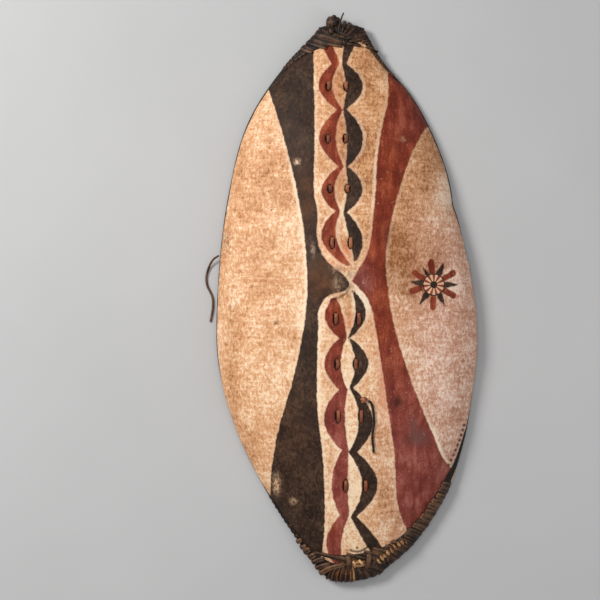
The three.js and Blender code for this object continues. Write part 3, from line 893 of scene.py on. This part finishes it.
SMEARS = [
    [-46, 84, 10, 26, 0.5], [-26, 64, 20, 8, 0.5], [0, 82, 17, 17, 1.0], [52, 90, 9, 50, 0.6],
    [60, -60, 9, 40, 0.5], [70, -150, 9, 60, 0.8], [80, -215, 10, 36, 0.4], [-6, 356, 12, 10, 0.6],
    [-4, 252, 10, 16, 0.5], [8, -48, 12, 22, 0.7], [-10, 344, 8, 26, 0.4], [-52, 76, 6, 22, 0.6],
]
CHALK = [
    [-100, 170, 22, 90, 0.75], [-78, 40, 20, 80, 0.6], [-55, -60, 14, 90, 0.6], [-52, -330, 14, 120, 0.5],
    [172, -276, 34, 50, 1.0], [64, 200, 14, 90, 0.5], [34, 0, 18, 32, 1.1], [40, 330, 20, 120, 0.25],
    [0, -250, 30, 200, 0.3], [-60, 300, 12, 100, 0.25], [0, 130, 30, 60, 0.3],
]
BARE = [
    [-90, 256, 4.5, 4.5, 1.6], [-129, -350, 7, 15, 0.9], [-97, -382, 7, 6, 0.4], [109, 299, 5, 4, 0.9],
    [-60, 90, 6, 12, 0.3], [16, 60, 12, 10, 0.5], [-18, 56, 8, 8, 0.4], [-14, 20, 8, 20, 0.35],
]
GREY = [[138, -262, 19, 15, 0.9], [128, -236, 8, 16, 0.6], [30, 30, 12, 20, 0.3]]
BLOTCHES = [
    [98, -196, 9, 10, 1.1], [-130, -47, 3, 3, 1.2], [96, 214, 5, 5, 0.3], [-24, 482, 7, 10, 0.75],
    [76, 116, 9, 22, 0.4], [12, 43, 4, 6, 0.5], [-12, 54, 5, 6, 0.6],
]
PURPLE = [[36, 34, 20, 30, 1.0], [120, 330, 40, 60, 0.35]]
NOT_PURPLE = [[-24, -425, 12, 30, 0.8], [64, -60, 8, 60, 0.2]]
WORN = [[-44, 32, 26, 34, 1.0], [-75, 190, 18, 60, 0.5], [-100, -240, 40, 100, 0.15]]


def build_hide():
    across = np.linspace(-1, 1, COLUMNS + 1)[None, :]
    up = np.linspace(-1, 1, ROWS + 1)[:, None]
    across, up = np.broadcast_arrays(across, up)
    base = skin(across, up)
    fade = np.clip((1 - np.abs(across)) / 0.03, 0, 1) * np.clip((1 - np.abs(up)) / 0.02, 0, 1)
    bare = np.where(across > 0, bare_right(base[..., 1]), bare_left(base[..., 1]))
    swell = SWELL * bare * np.clip((np.abs(across) - 0.72) / 0.2, 0, 1) ** 2
    front = off_skin(across, up, hide_relief(base) * fade + swell)
    seen = as_seen(front)
    black, red = paint_distances(seen)
    x, y = seen[..., 0], seen[..., 1]

    rx, ry = x - ROSETTE["x"], y - ROSETTE["y"]
    cream = 0.56 + blobs(x, y, CREAM)
    pink = np.clip(0.05 + np.clip((x - 40) / 150, 0, 1) * np.clip((330 - y) / 300, 0, 1), 0, 0.95)
    stain = np.clip(blobs(x, y, STAINS), 0, 0.95)
    smear = np.clip(blobs(x, y, SMEARS), 0, 0.95)
    chalk = np.clip(0.14 + blobs(x, y, CHALK) - 0.3 * np.exp(-(np.hypot(rx, ry) / 70) ** 4), 0, 1)
    bare_spots = np.clip(blobs(x, y, BARE), 0, 1)
    grey = np.clip(blobs(x, y, GREY), 0, 0.8)
    chain_right = chain_edges(RED_CHAIN[0], -1)[1](y)
    fringe = 0.75 * np.clip(1 + red / 15, 0, 1) * (x > chain_right - 3) * (x < 30) * np.clip((y - 60) / 30, 0, 1)
    fringe *= 0.65 + 0.35 * np.sin(y / 15)
    blotch = np.clip(blobs(x, y, BLOTCHES), 0, 0.85)
    purple = np.clip((-y - 60) / 250, 0, 0.85) + blobs(x, y, PURPLE)
    purple = purple - blobs(x, y, NOT_PURPLE)
    worn = blobs(x, y, WORN)
    # Painted shade in the holes, the creases and the lacing holes along the lower right rim, and a painted shadow
    # under the lower knot.
    painted_shade = np.zeros_like(x)
    for hx, hy, radius in HOLES:
        painted_shade = np.maximum(painted_shade, np.exp(-((np.hypot(x - hx, y - hy) / radius) ** 4)))
    for points, radius, strength in CREASE_AND_SHADOW_LINES:
        painted_shade = np.maximum(painted_shade, strength * np.exp(-((off_line(x, y, points) / radius) ** 4)))
    for t in np.linspace(0, 1, LACING["count"]):
        (x0, y0), (x1, y1) = LACING["from"], LACING["to"]
        hx = x0 + (x1 - x0) * t + LACING["bow"] * math.sin(math.pi * t)
        painted_shade = np.maximum(painted_shade, np.exp(-((np.hypot(x - hx, y - y0 - (y1 - y0) * t) / LACING["radius"]) ** 4)))

    half_across = np.linspace(-1, 1, COLUMNS // 2 + 1)[None, :]
    half_up = np.linspace(-1, 1, ROWS // 2 + 1)[:, None]
    half_across, half_up = np.broadcast_arrays(half_across, half_up)
    under = skin(half_across, half_up)
    waves = 0.7 * value_noise(under[..., 0], under[..., 1], 34, 21)
    waves += 0.3 * value_noise(under[..., 0], under[..., 1], 12, 22)
    back = off_skin(half_across, half_up, -HIDE + waves * np.clip((1 - np.abs(half_across)) / 0.05, 0, 1))

    start = front.size // 3
    faces = sheet_faces(ROWS, COLUMNS)
    indices = [0] * len(faces)
    faces += [face[::-1] for face in sheet_faces(ROWS // 2, COLUMNS // 2, start)]
    front_rim, back_rim = sheet_rim(ROWS, COLUMNS), sheet_rim(ROWS // 2, COLUMNS // 2)
    for k, b0 in enumerate(back_rim):
        b0, b1 = start + b0, start + back_rim[(k + 1) % len(back_rim)]
        f0, f1, f2 = (front_rim[(2 * k + step) % len(front_rim)] for step in range(3))
        faces += [(b0, f1, f0), (b0, b1, f1), (b1, f2, f1)]
    indices += [1] * (len(faces) - len(indices))

    points = np.concatenate([front.reshape(-1, 3), back.reshape(-1, 3)])
    rest = back.size // 3
    fields = {
        "black": (black, SHUT), "red": (red, SHUT), "cream": (cream, 0.3), "pink": (pink, 0), "stain": (stain, 0),
        "smear": (smear, 0), "blotch": (blotch, 0), "purple": (np.clip(purple, 0, 1), 0),
        "worn": (np.clip(worn, 0, 1), 0), "painted_shade": (painted_shade, 0), "fringe": (fringe, 0), "chalk": (chalk, 0),
        "bare": (bare_spots, 0), "grey": (grey, 0),
    }
    fields = {key: np.concatenate([value.ravel(), np.full(rest, blank)]) for key, (value, blank) in fields.items()}
    wheel = np.stack([rx, ry, 0 * x], axis=-1)
    slots = stitch_slots(base[..., 0], base[..., 1])
    # Each point's place in the nearest stitch's slot, which sets the painted shade round the stitches.
    for key, value, blank in (("wheel", wheel, 500.0), ("slot_shade_place", slots, FAR_OFF)):
        fields[key] = np.concatenate([value.reshape(-1, 3), np.full((rest, 3), blank)])
    piece = make_piece("hide", points, faces, [painted_hide, raw_hide], "hide", indices, **fields)
    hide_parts("hide_shell")


build_hide()

# ---------- Binding ----------

# The strip round the rim, counter-clockwise from the lower right corner:
# [across, up, width of its front leg, thickness, how far its lip passes the edge, steps to the next row].
RIM = [
    [1, -1, 25, 3.4, 1.6, 16], [1, -0.88, 24, 3, 1.8, 20], [1, -0.72, 21, 3, 2, 6], [1, -0.66, 17, 2.4, 2, 6],
    [1, -0.61, 11, 2, 2, 6], [1, -0.56, 7.5, 1.6, 1.8, 8], [1, -0.47, 4.5, 1.2, 1.6, 8], [1, -0.38, 3, 1, 1.4, 50],
    [1, 0.76, 3, 1, 1.2, 8], [1, 0.88, 6, 2, 1.2, 8], [1, 0.96, 9, 2.6, 1.4, 6], [1, 1, 24, 3.6, 1, 12],
    [-1, 1, 24, 4.4, 1.6, 10], [-1, 0.94, 17, 3.4, 1.4, 6], [-1, 0.88, 9, 2.2, 1.2, 4], [-1, 0.8, 3, 1, 1.2, 50],
    [-1, -0.66, 3, 1, 1.4, 8], [-1, -0.82, 5, 1.6, 1.6, 8], [-1, -0.93, 9, 3, 2.2, 5], [-1, -0.985, 14, 4, 1.6, 3],
    [-1, -1, 20, 4, 2, 6], [-0.5, -1, 22, 4, 8, 8], [0.2, -1, 23, 4, 6, 8],
]
BACK_COVER = 11  # width of its back leg
RIM_GAP = 0.4
RIM_STEP = 12  # how far to each side its direction is taken from


def rim_table():
    rows = np.array(RIM, float)
    places = []
    for row, after in zip(rows, np.roll(rows, -1, axis=0)):
        t = np.linspace(0, 1, int(row[5]) * 4, endpoint=False)[:, None]
        places.append(row[:5] + (after[:5] - row[:5]) * t)
    places = np.concatenate(places + [rows[:1, :5]])
    steps = np.linalg.norm(np.diff(skin(places[:, 0], places[:, 1]), axis=0), axis=1)
    return np.concatenate([[0], np.cumsum(steps)]), places


rim_length, rim_places = rim_table()
AROUND = rim_length[-1]


def rim_at(s):
    s = np.asarray(s, float) % AROUND
    return [np.interp(s, rim_length, rim_places[:, k]) for k in range(5)]


def rim_section(s):
    """Five points down the outside of the binding's section, from its front leg's end to its back leg's."""
    across, up, cover, bulk, lip = rim_at(s)
    along_x, along_y, normal = frame_at(across, up)
    behind, ahead = rim_at(np.asarray(s) - RIM_STEP), rim_at(np.asarray(s) + RIM_STEP)
    along = unit(skin(ahead[0], ahead[1]) - skin(behind[0], behind[1]))
    inward = unit(np.cross(normal, along))
    edge = skin(across, up)

    xx, xy, yy = ((a * b).sum(-1) for a, b in ((along_x, along_x), (along_x, along_y), (along_y, along_y)))
    to_x, to_y = (inward * along_x).sum(-1), (inward * along_y).sum(-1)

    def leg(reach, off):
        a = across + reach * (to_x * yy - to_y * xy) / (xx * yy - xy**2)
        u = up + reach * (to_y * xx - to_x * xy) / (xx * yy - xy**2)
        return off_skin(np.clip(a, -1, 1), np.clip(u, -1, 1), off)

    def at(out, off):
        return edge - inward * np.asarray(out)[..., None] + normal * np.asarray(off)[..., None]

    front = RIM_GAP + bulk
    back = -HIDE - RIM_GAP - 0.6 * bulk
    outer = RIM_GAP + lip
    gap, under, back_cover = (np.full_like(cover, value) for value in (RIM_GAP, -HIDE - RIM_GAP, BACK_COVER))
    outline = [
        leg(cover, RIM_GAP + 0.35 * bulk), leg(cover / 2, front), at(outer, front * 0.6), at(outer * 0.85, back),
        leg(back_cover, back),
    ]
    inner = [leg(back_cover, under), at(gap, under), at(gap, gap), leg(cover, gap)]
    return np.stack(outline, axis=-2), np.stack(inner, axis=-2)


def rim_point(s, v):
    """A point on the binding's outside: s round the rim, v from 0 to 1 down its section."""
    s, v = np.broadcast_arrays(np.asarray(s, float), np.asarray(v, float))
    outline = rim_section(s)[0]
    before = 2 * outline[..., :1, :] - outline[..., 1:2, :]
    after = 2 * outline[..., -1:, :] - outline[..., -2:-1, :]
    padded = np.concatenate([before, outline, after], axis=-2)
    t = v * 4
    i = np.clip(np.floor(t).astype(int), 0, 3)
    f = (t - i)[..., None]
    p0, p1, p2, p3 = (np.take_along_axis(padded, (i + k)[..., None, None], axis=-2)[..., 0, :] for k in range(4))
    return 0.5 * (2 * p1 + (p2 - p0) * f + (2 * p0 - 5 * p1 + 4 * p2 - p3) * f**2 + (3 * p1 - p0 - 3 * p2 + p3) * f**3)


def rim_place(x, y):
    """How far round the rim its lip is seen nearest to a place."""
    s = np.linspace(0, AROUND, 1600, endpoint=False)
    seen = as_seen(rim_point(s, 0.5))
    return float(s[np.argmin(np.hypot(seen[:, 0] - x, seen[:, 1] - y))])


def build_rim_strip():
    stations = 640
    s = np.linspace(0, AROUND, stations, endpoint=False)[:, None]
    v = np.linspace(0, 1, 13)[None, :]
    outer = rim_point(*np.broadcast_arrays(s, v))
    inner = rim_section(s[:, 0])[1]
    rings = np.concatenate([outer, inner], axis=1)
    faces = [(a, d, c, b) for a, b, c, d in tube_faces(stations, rings.shape[1], closed=True)]
    rings = rings.reshape(-1, 3)
    piece = strip_piece("rim_strip", [(rings, faces, np.full(len(rings), -0.16))], binding_strip, "binding")
    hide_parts("rim_binding")


def rim_wrap(s, width, thickness, slant, start, rub, wave):
    """One turn of strip over the rim, leaning by slant from its front end to its back end."""
    end, around = 0.97, 12
    v = np.linspace(start, end, 15)
    line = s + slant * (0.5 - v) + wave * np.sin(v * 9)
    path = rim_point(line, v)
    sides = unit(rim_point(line + 1.5, v) - rim_point(line - 1.5, v))
    outward = unit(np.cross(np.gradient(path, axis=0), sides))
    path = path + outward * thickness * 0.2
    taper = 0.72 + 0.28 * np.sin(np.pi * np.clip((v - start) / (end - start), 0.02, 0.98)) ** 0.5
    points, faces, shade = sweep(path, sides, width * taper, thickness, around=around, squareness=2.5, crest_highlight=0)
    angle = np.arange(around) * 2 * np.pi / around
    # Painted highlight along each turn's shoulders, painted shade along its edges where turns meet, and a painted
    # highlight towards its front end.
    shoulder_highlight_and_edge_shade = 0.2 * np.abs(np.sin(2 * angle)) - 0.14 * (np.abs(np.sin(angle)) < 0.3)
    inner = 0.1 * np.clip(1 - v / 0.4, 0, 1)
    return points, faces, rub + (shoulder_highlight_and_edge_shade[None, :] + inner[:, None]).ravel()


# Stretches of the whipping, counter-clockwise, as they look from above:
# [x, y, pitch, width to pitch, thickness, lean, tone, scatter, where its front end starts].
# A stretch that is only [x, y] has none.
WHIPPING = [
    [93, -490, 12.2, 1.02, 3.2, 0, 0.0, 1.0, -0.02], [197, -347],
    [88, 414, 7, 1.1, 1.8, -5, -0.04, 0.6, 0.0], [50, 480, 9, 1.04, 3.0, 4, -0.06, 0.9, 0.0],
    [-20, 510, 13, 1.06, 3.4, 2, -0.04, 1.0, -0.02], [-85, 470, 9, 0.9, 1.6, 2, -0.06, 0.7, 0.0], [-120, 432],
    [-148, -372, 11, 0.6, 1.4, 2, -0.12, 0.7, 0.0], [-90, -452, 12.5, 0.92, 6.0, 1, 0.02, 1.3, 0.0],
    [-35, -518], [15, -527, 13.4, 1.08, 3.0, 2, -0.03, 0.6, -0.02],
]


def build_wraps():
    rng = np.random.default_rng(5)
    parts = []
    starts = [rim_place(row[0], row[1]) for row in WHIPPING]
    for k, (row, s0) in enumerate(zip(WHIPPING, starts)):
        if len(row) == 2:
            continue
        pitch, width, thickness, lean, rub, scatter, front = row[2:]
        span = (starts[(k + 1) % len(starts)] - s0) % AROUND
        count = max(1, round(span / pitch))
        for i in range(count):
            r = rng.uniform(-1, 1, 6) * scatter
            parts.append(rim_wrap(
                s0 + (i + 0.5 + 0.12 * r[0]) * span / count, pitch * width * (1 + 0.16 * r[1]),
                thickness * (1 + 0.25 * r[2]), lean + 2.5 * r[3], front + 0.05 * r[4], rub + 0.07 * r[5],
                0.5 * r[0],
            ))
    strip_piece("rim_wraps", parts, binding_strip, "binding")


def build_gold():
    """What shows golden on the binding: the wrinkled fold at the foot, thong stubs and a loose slip."""
    s0, s1 = rim_place(-33, -521), rim_place(19, -529)
    s = np.linspace(s0, s0 + (s1 - s0) % AROUND, 72)[:, None]
    v = np.linspace(-0.1, 0.93, 18)[None, :]
    base = rim_point(s, v)
    outward = unit(np.cross(rim_point(s, v + 0.02) - base, rim_point(s + 1, v) - base))
    ripple = np.sin((s - s0) / 1.35 + 1.5 * np.sin(5 * v)) + 0.8 * np.sin((s - s0) / 0.8 + 4 * v + 2)
    ripple *= 0.45 + 0.55 * np.clip(v / 0.3, 0, 1)
    # Painted highlight towards the fold's far end and along its front edge.
    lit = 0.3 * np.clip((s - s0) / (s[-1] - s0) * 4 - 3, 0, 1) + 0.2 * np.exp(-(((v + 0.08) / 0.06) ** 2))
    outer = base + outward * (3.4 + 0.8 * ripple)[..., None]
    rows, columns = base.shape[:2]
    points = np.concatenate([outer.reshape(-1, 3), (base + outward * 0.3).reshape(-1, 3)])
    sheet = rows * columns
    faces = []
    for a, b, c, d in sheet_faces(rows - 1, columns - 1):
        faces += [(a, b, c, d), (sheet + a, sheet + d, sheet + c, sheet + b)]
    edge = sheet_rim(rows - 1, columns - 1)
    for a, b in zip(edge, edge[1:] + edge[:1]):
        faces.append((a, sheet + a, sheet + b, b))
    # Painted light on the fold: paler on its wrinkles' crests, painted shade where it turns under the rim, plus the
    # painted highlight.
    shade = (-0.1 + 0.09 * ripple - 0.1 * np.clip((v - 0.35) / 0.2, 0, 1) + lit).ravel()
    parts = [(points, faces, np.concatenate([shade, shade]))]

    rng = np.random.default_rng(9)
    for t in np.linspace(0, 1, 8):
        r = rng.uniform(-1, 1, 4)
        place = over(60 + 42 * t + r[0], -483 + 34 * t + 1.2 * r[1], 6.5)
        parts.append(lump(place, (2.7 + 0.5 * r[2], 5.2 + r[3], 2.6), 21 + int(9 * t), 0.1, 0.62, 0.16, 10, 14))
    for t in np.linspace(0, 1, 7):
        r = rng.uniform(-1, 1, 2)
        place = over(70 + 40 * t + r[0], -485 + 33 * t + r[1], 5.5)
        parts.append(lump(place, (1.6, 4.6, 2), 31 + int(9 * t), 0.1, 0.7, 0.04, 8, 12))

    s0, s1 = rim_place(211, -321), rim_place(199, -345)
    s = s0 + np.linspace(0, s1 - s0, 12)
    slip = rim_point(s, 0.42)
    parts.append(sweep(slip, rim_point(s, 0.5) - slip, 4.4, 2, rub=0.24))
    strip_piece("rim_gold", parts, golden_strip, "binding")


def lump(centre, radii, seed, crease=0.12, turn=0.0, rub=0.0, rows=18, columns=28):
    """A crumpled round lump: a sphere with folds, in the drawing frame."""
    lat = np.linspace(0, np.pi, rows + 1)[1:-1, None]
    lon = np.linspace(0, 2 * np.pi, columns, endpoint=False)[None, :]
    shape = np.stack([np.sin(lat) * np.cos(lon), np.sin(lat) * np.sin(lon), np.cos(lat) + 0 * lon], axis=-1)
    shape = np.concatenate([[[0, 0, 1]], shape.reshape(-1, 3), [[0, 0, -1]]])
    folds = value_noise(shape[:, 0] * 3 + 20, shape[:, 1] * 3 + shape[:, 2] * 2 + 20, 1, seed)
    folds = folds + 0.7 * np.sin(7 * (shape[:, 0] * math.cos(seed) + shape[:, 1] * math.sin(seed)) + seed)
    shape = shape * (1 + crease * folds)[:, None] * np.array(radii)
    c, d = math.cos(turn), math.sin(turn)
    points = np.stack([shape[:, 0] * c - shape[:, 1] * d, shape[:, 0] * d + shape[:, 1] * c, shape[:, 2]], axis=1)
    points += np.array(centre)
    inner = rows - 1
    faces = []
    for j in range(inner - 1):
        for i in range(columns):
            a, b = 1 + j * columns + i, 1 + j * columns + (i + 1) % columns
            faces.append((a, a + columns, b + columns, b))
    last = len(points) - 1
    for i in range(columns):
        faces.append((0, 1 + i, 1 + (i + 1) % columns))
        base = 1 + (inner - 1) * columns
        faces.append((last, base + (i + 1) % columns, base + i))
    # Painted light on the folds: paler where they stand out, painted shade where they sink in.
    return points, faces, rub + 0.12 * np.clip(folds, -1.5, 1.5)


def seen_point(x, y, z):
    """The drawing-frame point at height z above the floor that is seen at a place."""
    x = EYE[0] + (x - EYE[0]) * (1 - z / EYE_HEIGHT)
    y = EYE[1] + (y - EYE[1]) * (1 - z / EYE_HEIGHT)
    return np.array([x, y, z - SHIFT[2]])


def seen_path(*rows, count=18):
    return smooth_path([seen_point(*row) for row in rows], count)


def build_top():
    """The knob, the folded fan of strip ends beside it and the two small loops."""
    knob = seen_point(-23, 519, 21)
    dark = [lump(knob, (13.4, 10.6, 9.5), 3, 0.1, 0.4, 0.04)]
    for turn, reach in ((0.3, 11.6), (1.3, 12.0), (2.4, 11.2)):
        angle = np.linspace(-2.4, 2.4, 16)
        away = np.sin(angle) * reach
        ring = np.stack([away * math.cos(turn), away * math.sin(turn), 9.2 * np.cos(angle)], axis=1)
        ring += knob
        dark.append(sweep(ring, (-math.sin(turn), math.cos(turn), 0), 7.5, 2.6, rub=0.04))
    fans = [
        ((-7, 496), (0, 517), 6.5), ((-3, 494), (9, 514), 7), ((0, 490), (19, 507), 7.5), ((2, 486), (27, 497), 8),
        ((4, 481), (32, 487), 8), ((8, 476), (34, 478), 6),
    ]
    for k, ((x0, y0), (x1, y1), wide) in enumerate(fans):
        path = seen_path(
            (x0, y0, 27), ((2 * x0 + x1) / 3, (2 * y0 + y1) / 3, 31), ((x0 + 2 * x1) / 3, (y0 + 2 * y1) / 3, 29 - k),
            (x1, y1, 19 - k), (x1 * 1.01, y1 * 1.004, 8),
        )
        side = np.array([y0 - y1, x1 - x0, 0.0])
        widths = np.interp(np.linspace(0, 1, 18), [0, 0.35, 1], [3.2, wide * 0.85, wide * 1.1])
        dark.append(sweep(path, side, widths, 4.2, around=12, squareness=3, rub=(-0.05, 0.02, -0.02)[k % 3]))
    for x, y, wide, tall in ((-27, 503, 6, 8.6), (-1.6, 481, 5.4, 8.2)):
        angle = np.arange(22) * 2 * np.pi / 22
        ring = np.stack([x + wide * np.cos(angle) * 0.8, y + tall * np.sin(angle) * 0.8, np.full(22, 35.0)], axis=1)
        ring = np.array([seen_point(*row) for row in ring])
        dark.append(sweep(ring, (0, 0, 1), 2.4, 2.4, closed=True, rub=-0.2))
        dark.append(lump(seen_point(x, y, 33.5), (wide * 0.66, tall * 0.72, 3), 7 + int(wide), 0.06, 0, 0.08, 12, 18))
    wedge = seen_path((-11, 489, 27), (-11, 497, 31), (-10, 508, 32), (-8.5, 521, 31), count=12)
    dark.append(sweep(wedge, (1, 0, 0), np.linspace(8, 3, 12), np.linspace(4, 3, 12), rub=-0.02))
    strip_piece("tip_knot", dark, binding_strip, "binding")

    spike = seen_path((-12, 490, 30), (-11.5, 503, 33), (-9, 519, 34), (-6.5, 527, 34), (-2.5, 536, 34), count=20)
    spike = sweep(spike, (1, 0, 0), np.linspace(3.8, 2.6, 20), np.linspace(3.6, 2.4, 20), rub=-0.16)
    root = lump(seen_point(-12, 488, 31.5), (5.4, 3.6, 3), 21, 0.08, 0, -0.4, 10, 16)
    piece = strip_piece("tip_spike", [spike, root], black_thong, "thong")
    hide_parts("tip_thong")


def build_bottom():
    """The tucked knot inside the lower rim, with the flaps beside it."""
    def laid(*rows):
        return smooth_path([over(x, y, height) for x, y, height in rows], 12)

    gold = [
        lump(over(24, -485.5, 7), (11.5, 7.2, 5.4), 11, 0.16, 0.12, 0.12),
        sweep(laid((14, -480, 9), (17, -484, 12.4), (17, -492, 8)), (1, 0.2, 0), 4.6, 2.6, rub=0.16),
        sweep(laid((24, -478, 9), (29, -482, 12.6), (33, -489, 8)), (1, 0.5, 0), 5, 2.6, rub=0.2),
    ]
    strip_piece("lower_knot", gold, golden_strip, "binding")
    dark = [
        sweep(laid((4, -474, 2), (6, -480, 6), (6, -488, 7), (5, -500, 5)), (1, 0, 0), 9.5, 4, rub=0.08),
        sweep(laid((43, -470, 2), (43, -477, 6), (40, -487, 7), (36, -498, 5)), (1, 0.3, 0), 11, 4, rub=0.1),
        sweep(laid((50, -474, 2), (52, -481, 5), (50, -492, 5)), (1, 0.3, 0), 8, 4, rub=0.02),
    ]
    strip_piece("lower_flaps", dark, binding_strip, "binding")


build_rim_strip()
build_wraps()
build_gold()
build_top()
build_bottom()

# ---------- Stave and ties ----------

STAVE = {"width": 22, "thickness": 13, "gap": 1.5, "from": -0.9, "to": 0.9}
STAVE_AROUND = 20
GRIP = {"y": 30, "bow": 30, "flat": 14, "half": 50}
THONG_SLACK = 2.2
TIE_STEPS = 34


def bow_at(y):
    past = np.clip((np.abs(y - GRIP["y"]) - GRIP["flat"]) / (GRIP["half"] - GRIP["flat"]), 0, 1)
    return GRIP["bow"] * (0.5 + 0.5 * np.cos(np.pi * past))


def ridge_at(y):
    """The ridge line over the stave, with the direction square to it."""
    y = np.asarray(y, float)
    up = np.where(y > 0, y / TOP, y / BOTTOM)
    along = frame_at(np.zeros_like(up), up)[1]
    square = unit(np.stack([np.zeros_like(y), -along[..., 2], along[..., 1]], axis=-1))
    return skin(0, up), square


def build_stave():
    low, high = STAVE["from"] * BOTTOM, STAVE["to"] * TOP
    y = np.linspace(low, high, 260)
    point, square = ridge_at(y)
    level = np.clip(1 - (np.abs(y - GRIP["y"]) - GRIP["flat"]) / 12, 0, 1)[:, None]
    middle = ridge_at(GRIP["y"])[0]
    point[:, 2] += level[:, 0] * (middle[2] - point[:, 2])
    point[:, 0] += level[:, 0] * (middle[0] - point[:, 0])
    square = unit(square * (1 - level) + np.array([0, 0, 1.0]) * level)
    reach = np.minimum(y - low, high - y)
    taper = 0.7 + 0.3 * np.clip(reach / 90, 0, 1)
    taper *= 0.9 + 0.1 * np.clip(reach / 6, 0, 1) ** 0.5
    bend = 1.3 * value_noise(y, y * 0, 70, 31)
    angle = np.arange(STAVE_AROUND) * 2 * np.pi / STAVE_AROUND
    flat, tall = rounded(np.cos(angle), 0.62), rounded(np.sin(angle), 0.62)
    half = STAVE["width"] / 2 * taper * (1 + 0.05 * value_noise(y, y * 0, 33, 32))
    deep = STAVE["thickness"] / 2 * taper * (1 + 0.05 * value_noise(y, y * 0, 41, 33))
    drop = -HIDE - STAVE["gap"] - bow_at(y) - STAVE["thickness"] / 2 * taper
    centre = point + square * drop[:, None] + np.array([1.0, 0, 0]) * bend[:, None] * (1 - level)
    rings = centre[:, None] + half[:, None, None] * flat[None, :, None] * np.array([1.0, 0, 0])
    rings = rings + square[:, None] * (deep[:, None] * tall[None, :])[..., None]
    knobbly = 0.25 * value_noise(rings[..., 1] + 40 * angle, rings[..., 0] * 3, 9, 34)
    rings = rings + square[:, None] * (knobbly * np.sign(tall))[..., None]
    handled = np.repeat(np.exp(-(((y - GRIP["y"]) / 52) ** 4)), STAVE_AROUND)
    faces = tube_faces(len(y), STAVE_AROUND)
    piece = make_piece("grip_stave", rings.reshape(-1, 3), faces, [stave_wood], "stave", handled=handled)
    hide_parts("stave")


def tie_frame(y):
    """A tie's own axes: its place on the ridge, across, up the shield and out of the hide."""
    point, square = ridge_at(float(y))
    across = np.array([1.0, 0, 0])
    return point, across, np.cross(square, across), square


def build_tie(number, y, half, left, right, length):
    rng = np.random.default_rng(40 + number)
    place, across, upward, out = tie_frame(y)
    under = -HIDE - STAVE["gap"] - STAVE["thickness"] - THONG_SLACK

    def point(x, along, depth):
        ground = over(place[0] + x, place[1] + along * upward[1], 0.0)
        local = place + across * x + upward * along
        return local + out * depth if depth < -2 else ground + out * depth

    parts = []
    reach = STITCH["half"]
    for side, shift in ((-1, left), (1, right)):
        back = side * half
        x = back + shift
        lean = rng.uniform(-1.0, 1.0)
        path = smooth_path([
            point(back, reach, -7.5), point(x, length, -2), point(x, length - 0.8, 0.8),
            point(x + lean, 0.35 * length, 2.2), point(x + lean, -0.35 * length, 2.0),
            point(x, -length + 0.8, 0.6), point(x, -length, -2), point(back, -reach, -7.5),
        ], TIE_STEPS)
        widths = STITCH["width"] * (0.76 + 0.24 * np.sin(np.pi * np.linspace(0, 1, TIE_STEPS)))
        points, faces, shade = sweep(
            path, across, widths, STITCH["thickness"], around=12, squareness=2.2, rub=rng.uniform(-0.1, 0.02),
        )
        # Painted light down each stitch: paler at its upper end, darker at its lower end.
        parts.append((points, faces, shade + np.repeat(np.linspace(0.1, -0.1, TIE_STEPS), 12)))
    for along in (-reach, reach):
        for layer, shift in ((0, -1.4), (1, 1.6)):
            low = under - layer * 1.2
            path = smooth_path([
                point(-half - 1, along, -7), point(-half, along + shift, under + 2.4),
                point(-half * 0.6, along + shift * 1.6, low), point(0, along + shift * 1.8, low - 0.4),
                point(half * 0.6, along + shift * 1.6, low), point(half, along + shift, under + 2.4),
                point(half + 1, along, -7),
            ], TIE_STEPS)
            parts.append(sweep(path, upward, 5.4, 2.0, rub=rng.uniform(-0.04, 0.08)))
    knot = point(half * 0.75, -reach * 0.2, under - 1)
    parts.append(lump(knot, (4.6, 6.4, 3.2), 50 + number, 0.12, rng.uniform(0, 2), 0.05, 10, 16))
    parts.append(sweep(smooth_path([knot, knot + (3, -6, -1), knot + (4, -14, 1)], 12), (1, 0, 0), 4, 1.6, rub=0.0))
    piece = strip_piece(f"tie_{number}", parts, stitch_strip, "tie")
    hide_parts(f"stave_tie_{number}")


build_stave()
for tie_number, tie in enumerate(TIES, 1):
    build_tie(tie_number, *tie)

KNOT = {"x": 31, "y": -184.5, "rise": 3.2}
knot_place = over(KNOT["x"], KNOT["y"], KNOT["rise"])
tail_turn = [knot_place + step for step in ((-3, 4, 0), (0, 1, 4), (4, -3, 1))]
tail_parts = [
    lump(knot_place, (6.6, 5.4, 3.4), 71, 0.1, 0.5, 0.1, 14, 20),
    sweep(smooth_path(tail_turn, 10), (0.7, 0.7, 0), 4.4, 2, rub=0.14),
]
tail_piece = strip_piece("tail_knot_turns", tail_parts, stitch_strip, "tie")
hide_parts("tail_knot")

# ---------- Floor ----------

FLOOR_HALF = 6  # half its side, in metres
floor_mesh = bpy.data.meshes.new("floor")
floor_corners = [(FLOOR_HALF * x, FLOOR_HALF * y, 0) for x, y in ((-1, -1), (1, -1), (1, 1), (-1, 1))]
floor_mesh.from_pydata(floor_corners, [], [(0, 1, 2, 3)])
floor_mesh.materials.append(floor_material())
floor = bpy.data.objects.new("floor", floor_mesh)
scene.collection.objects.link(floor)
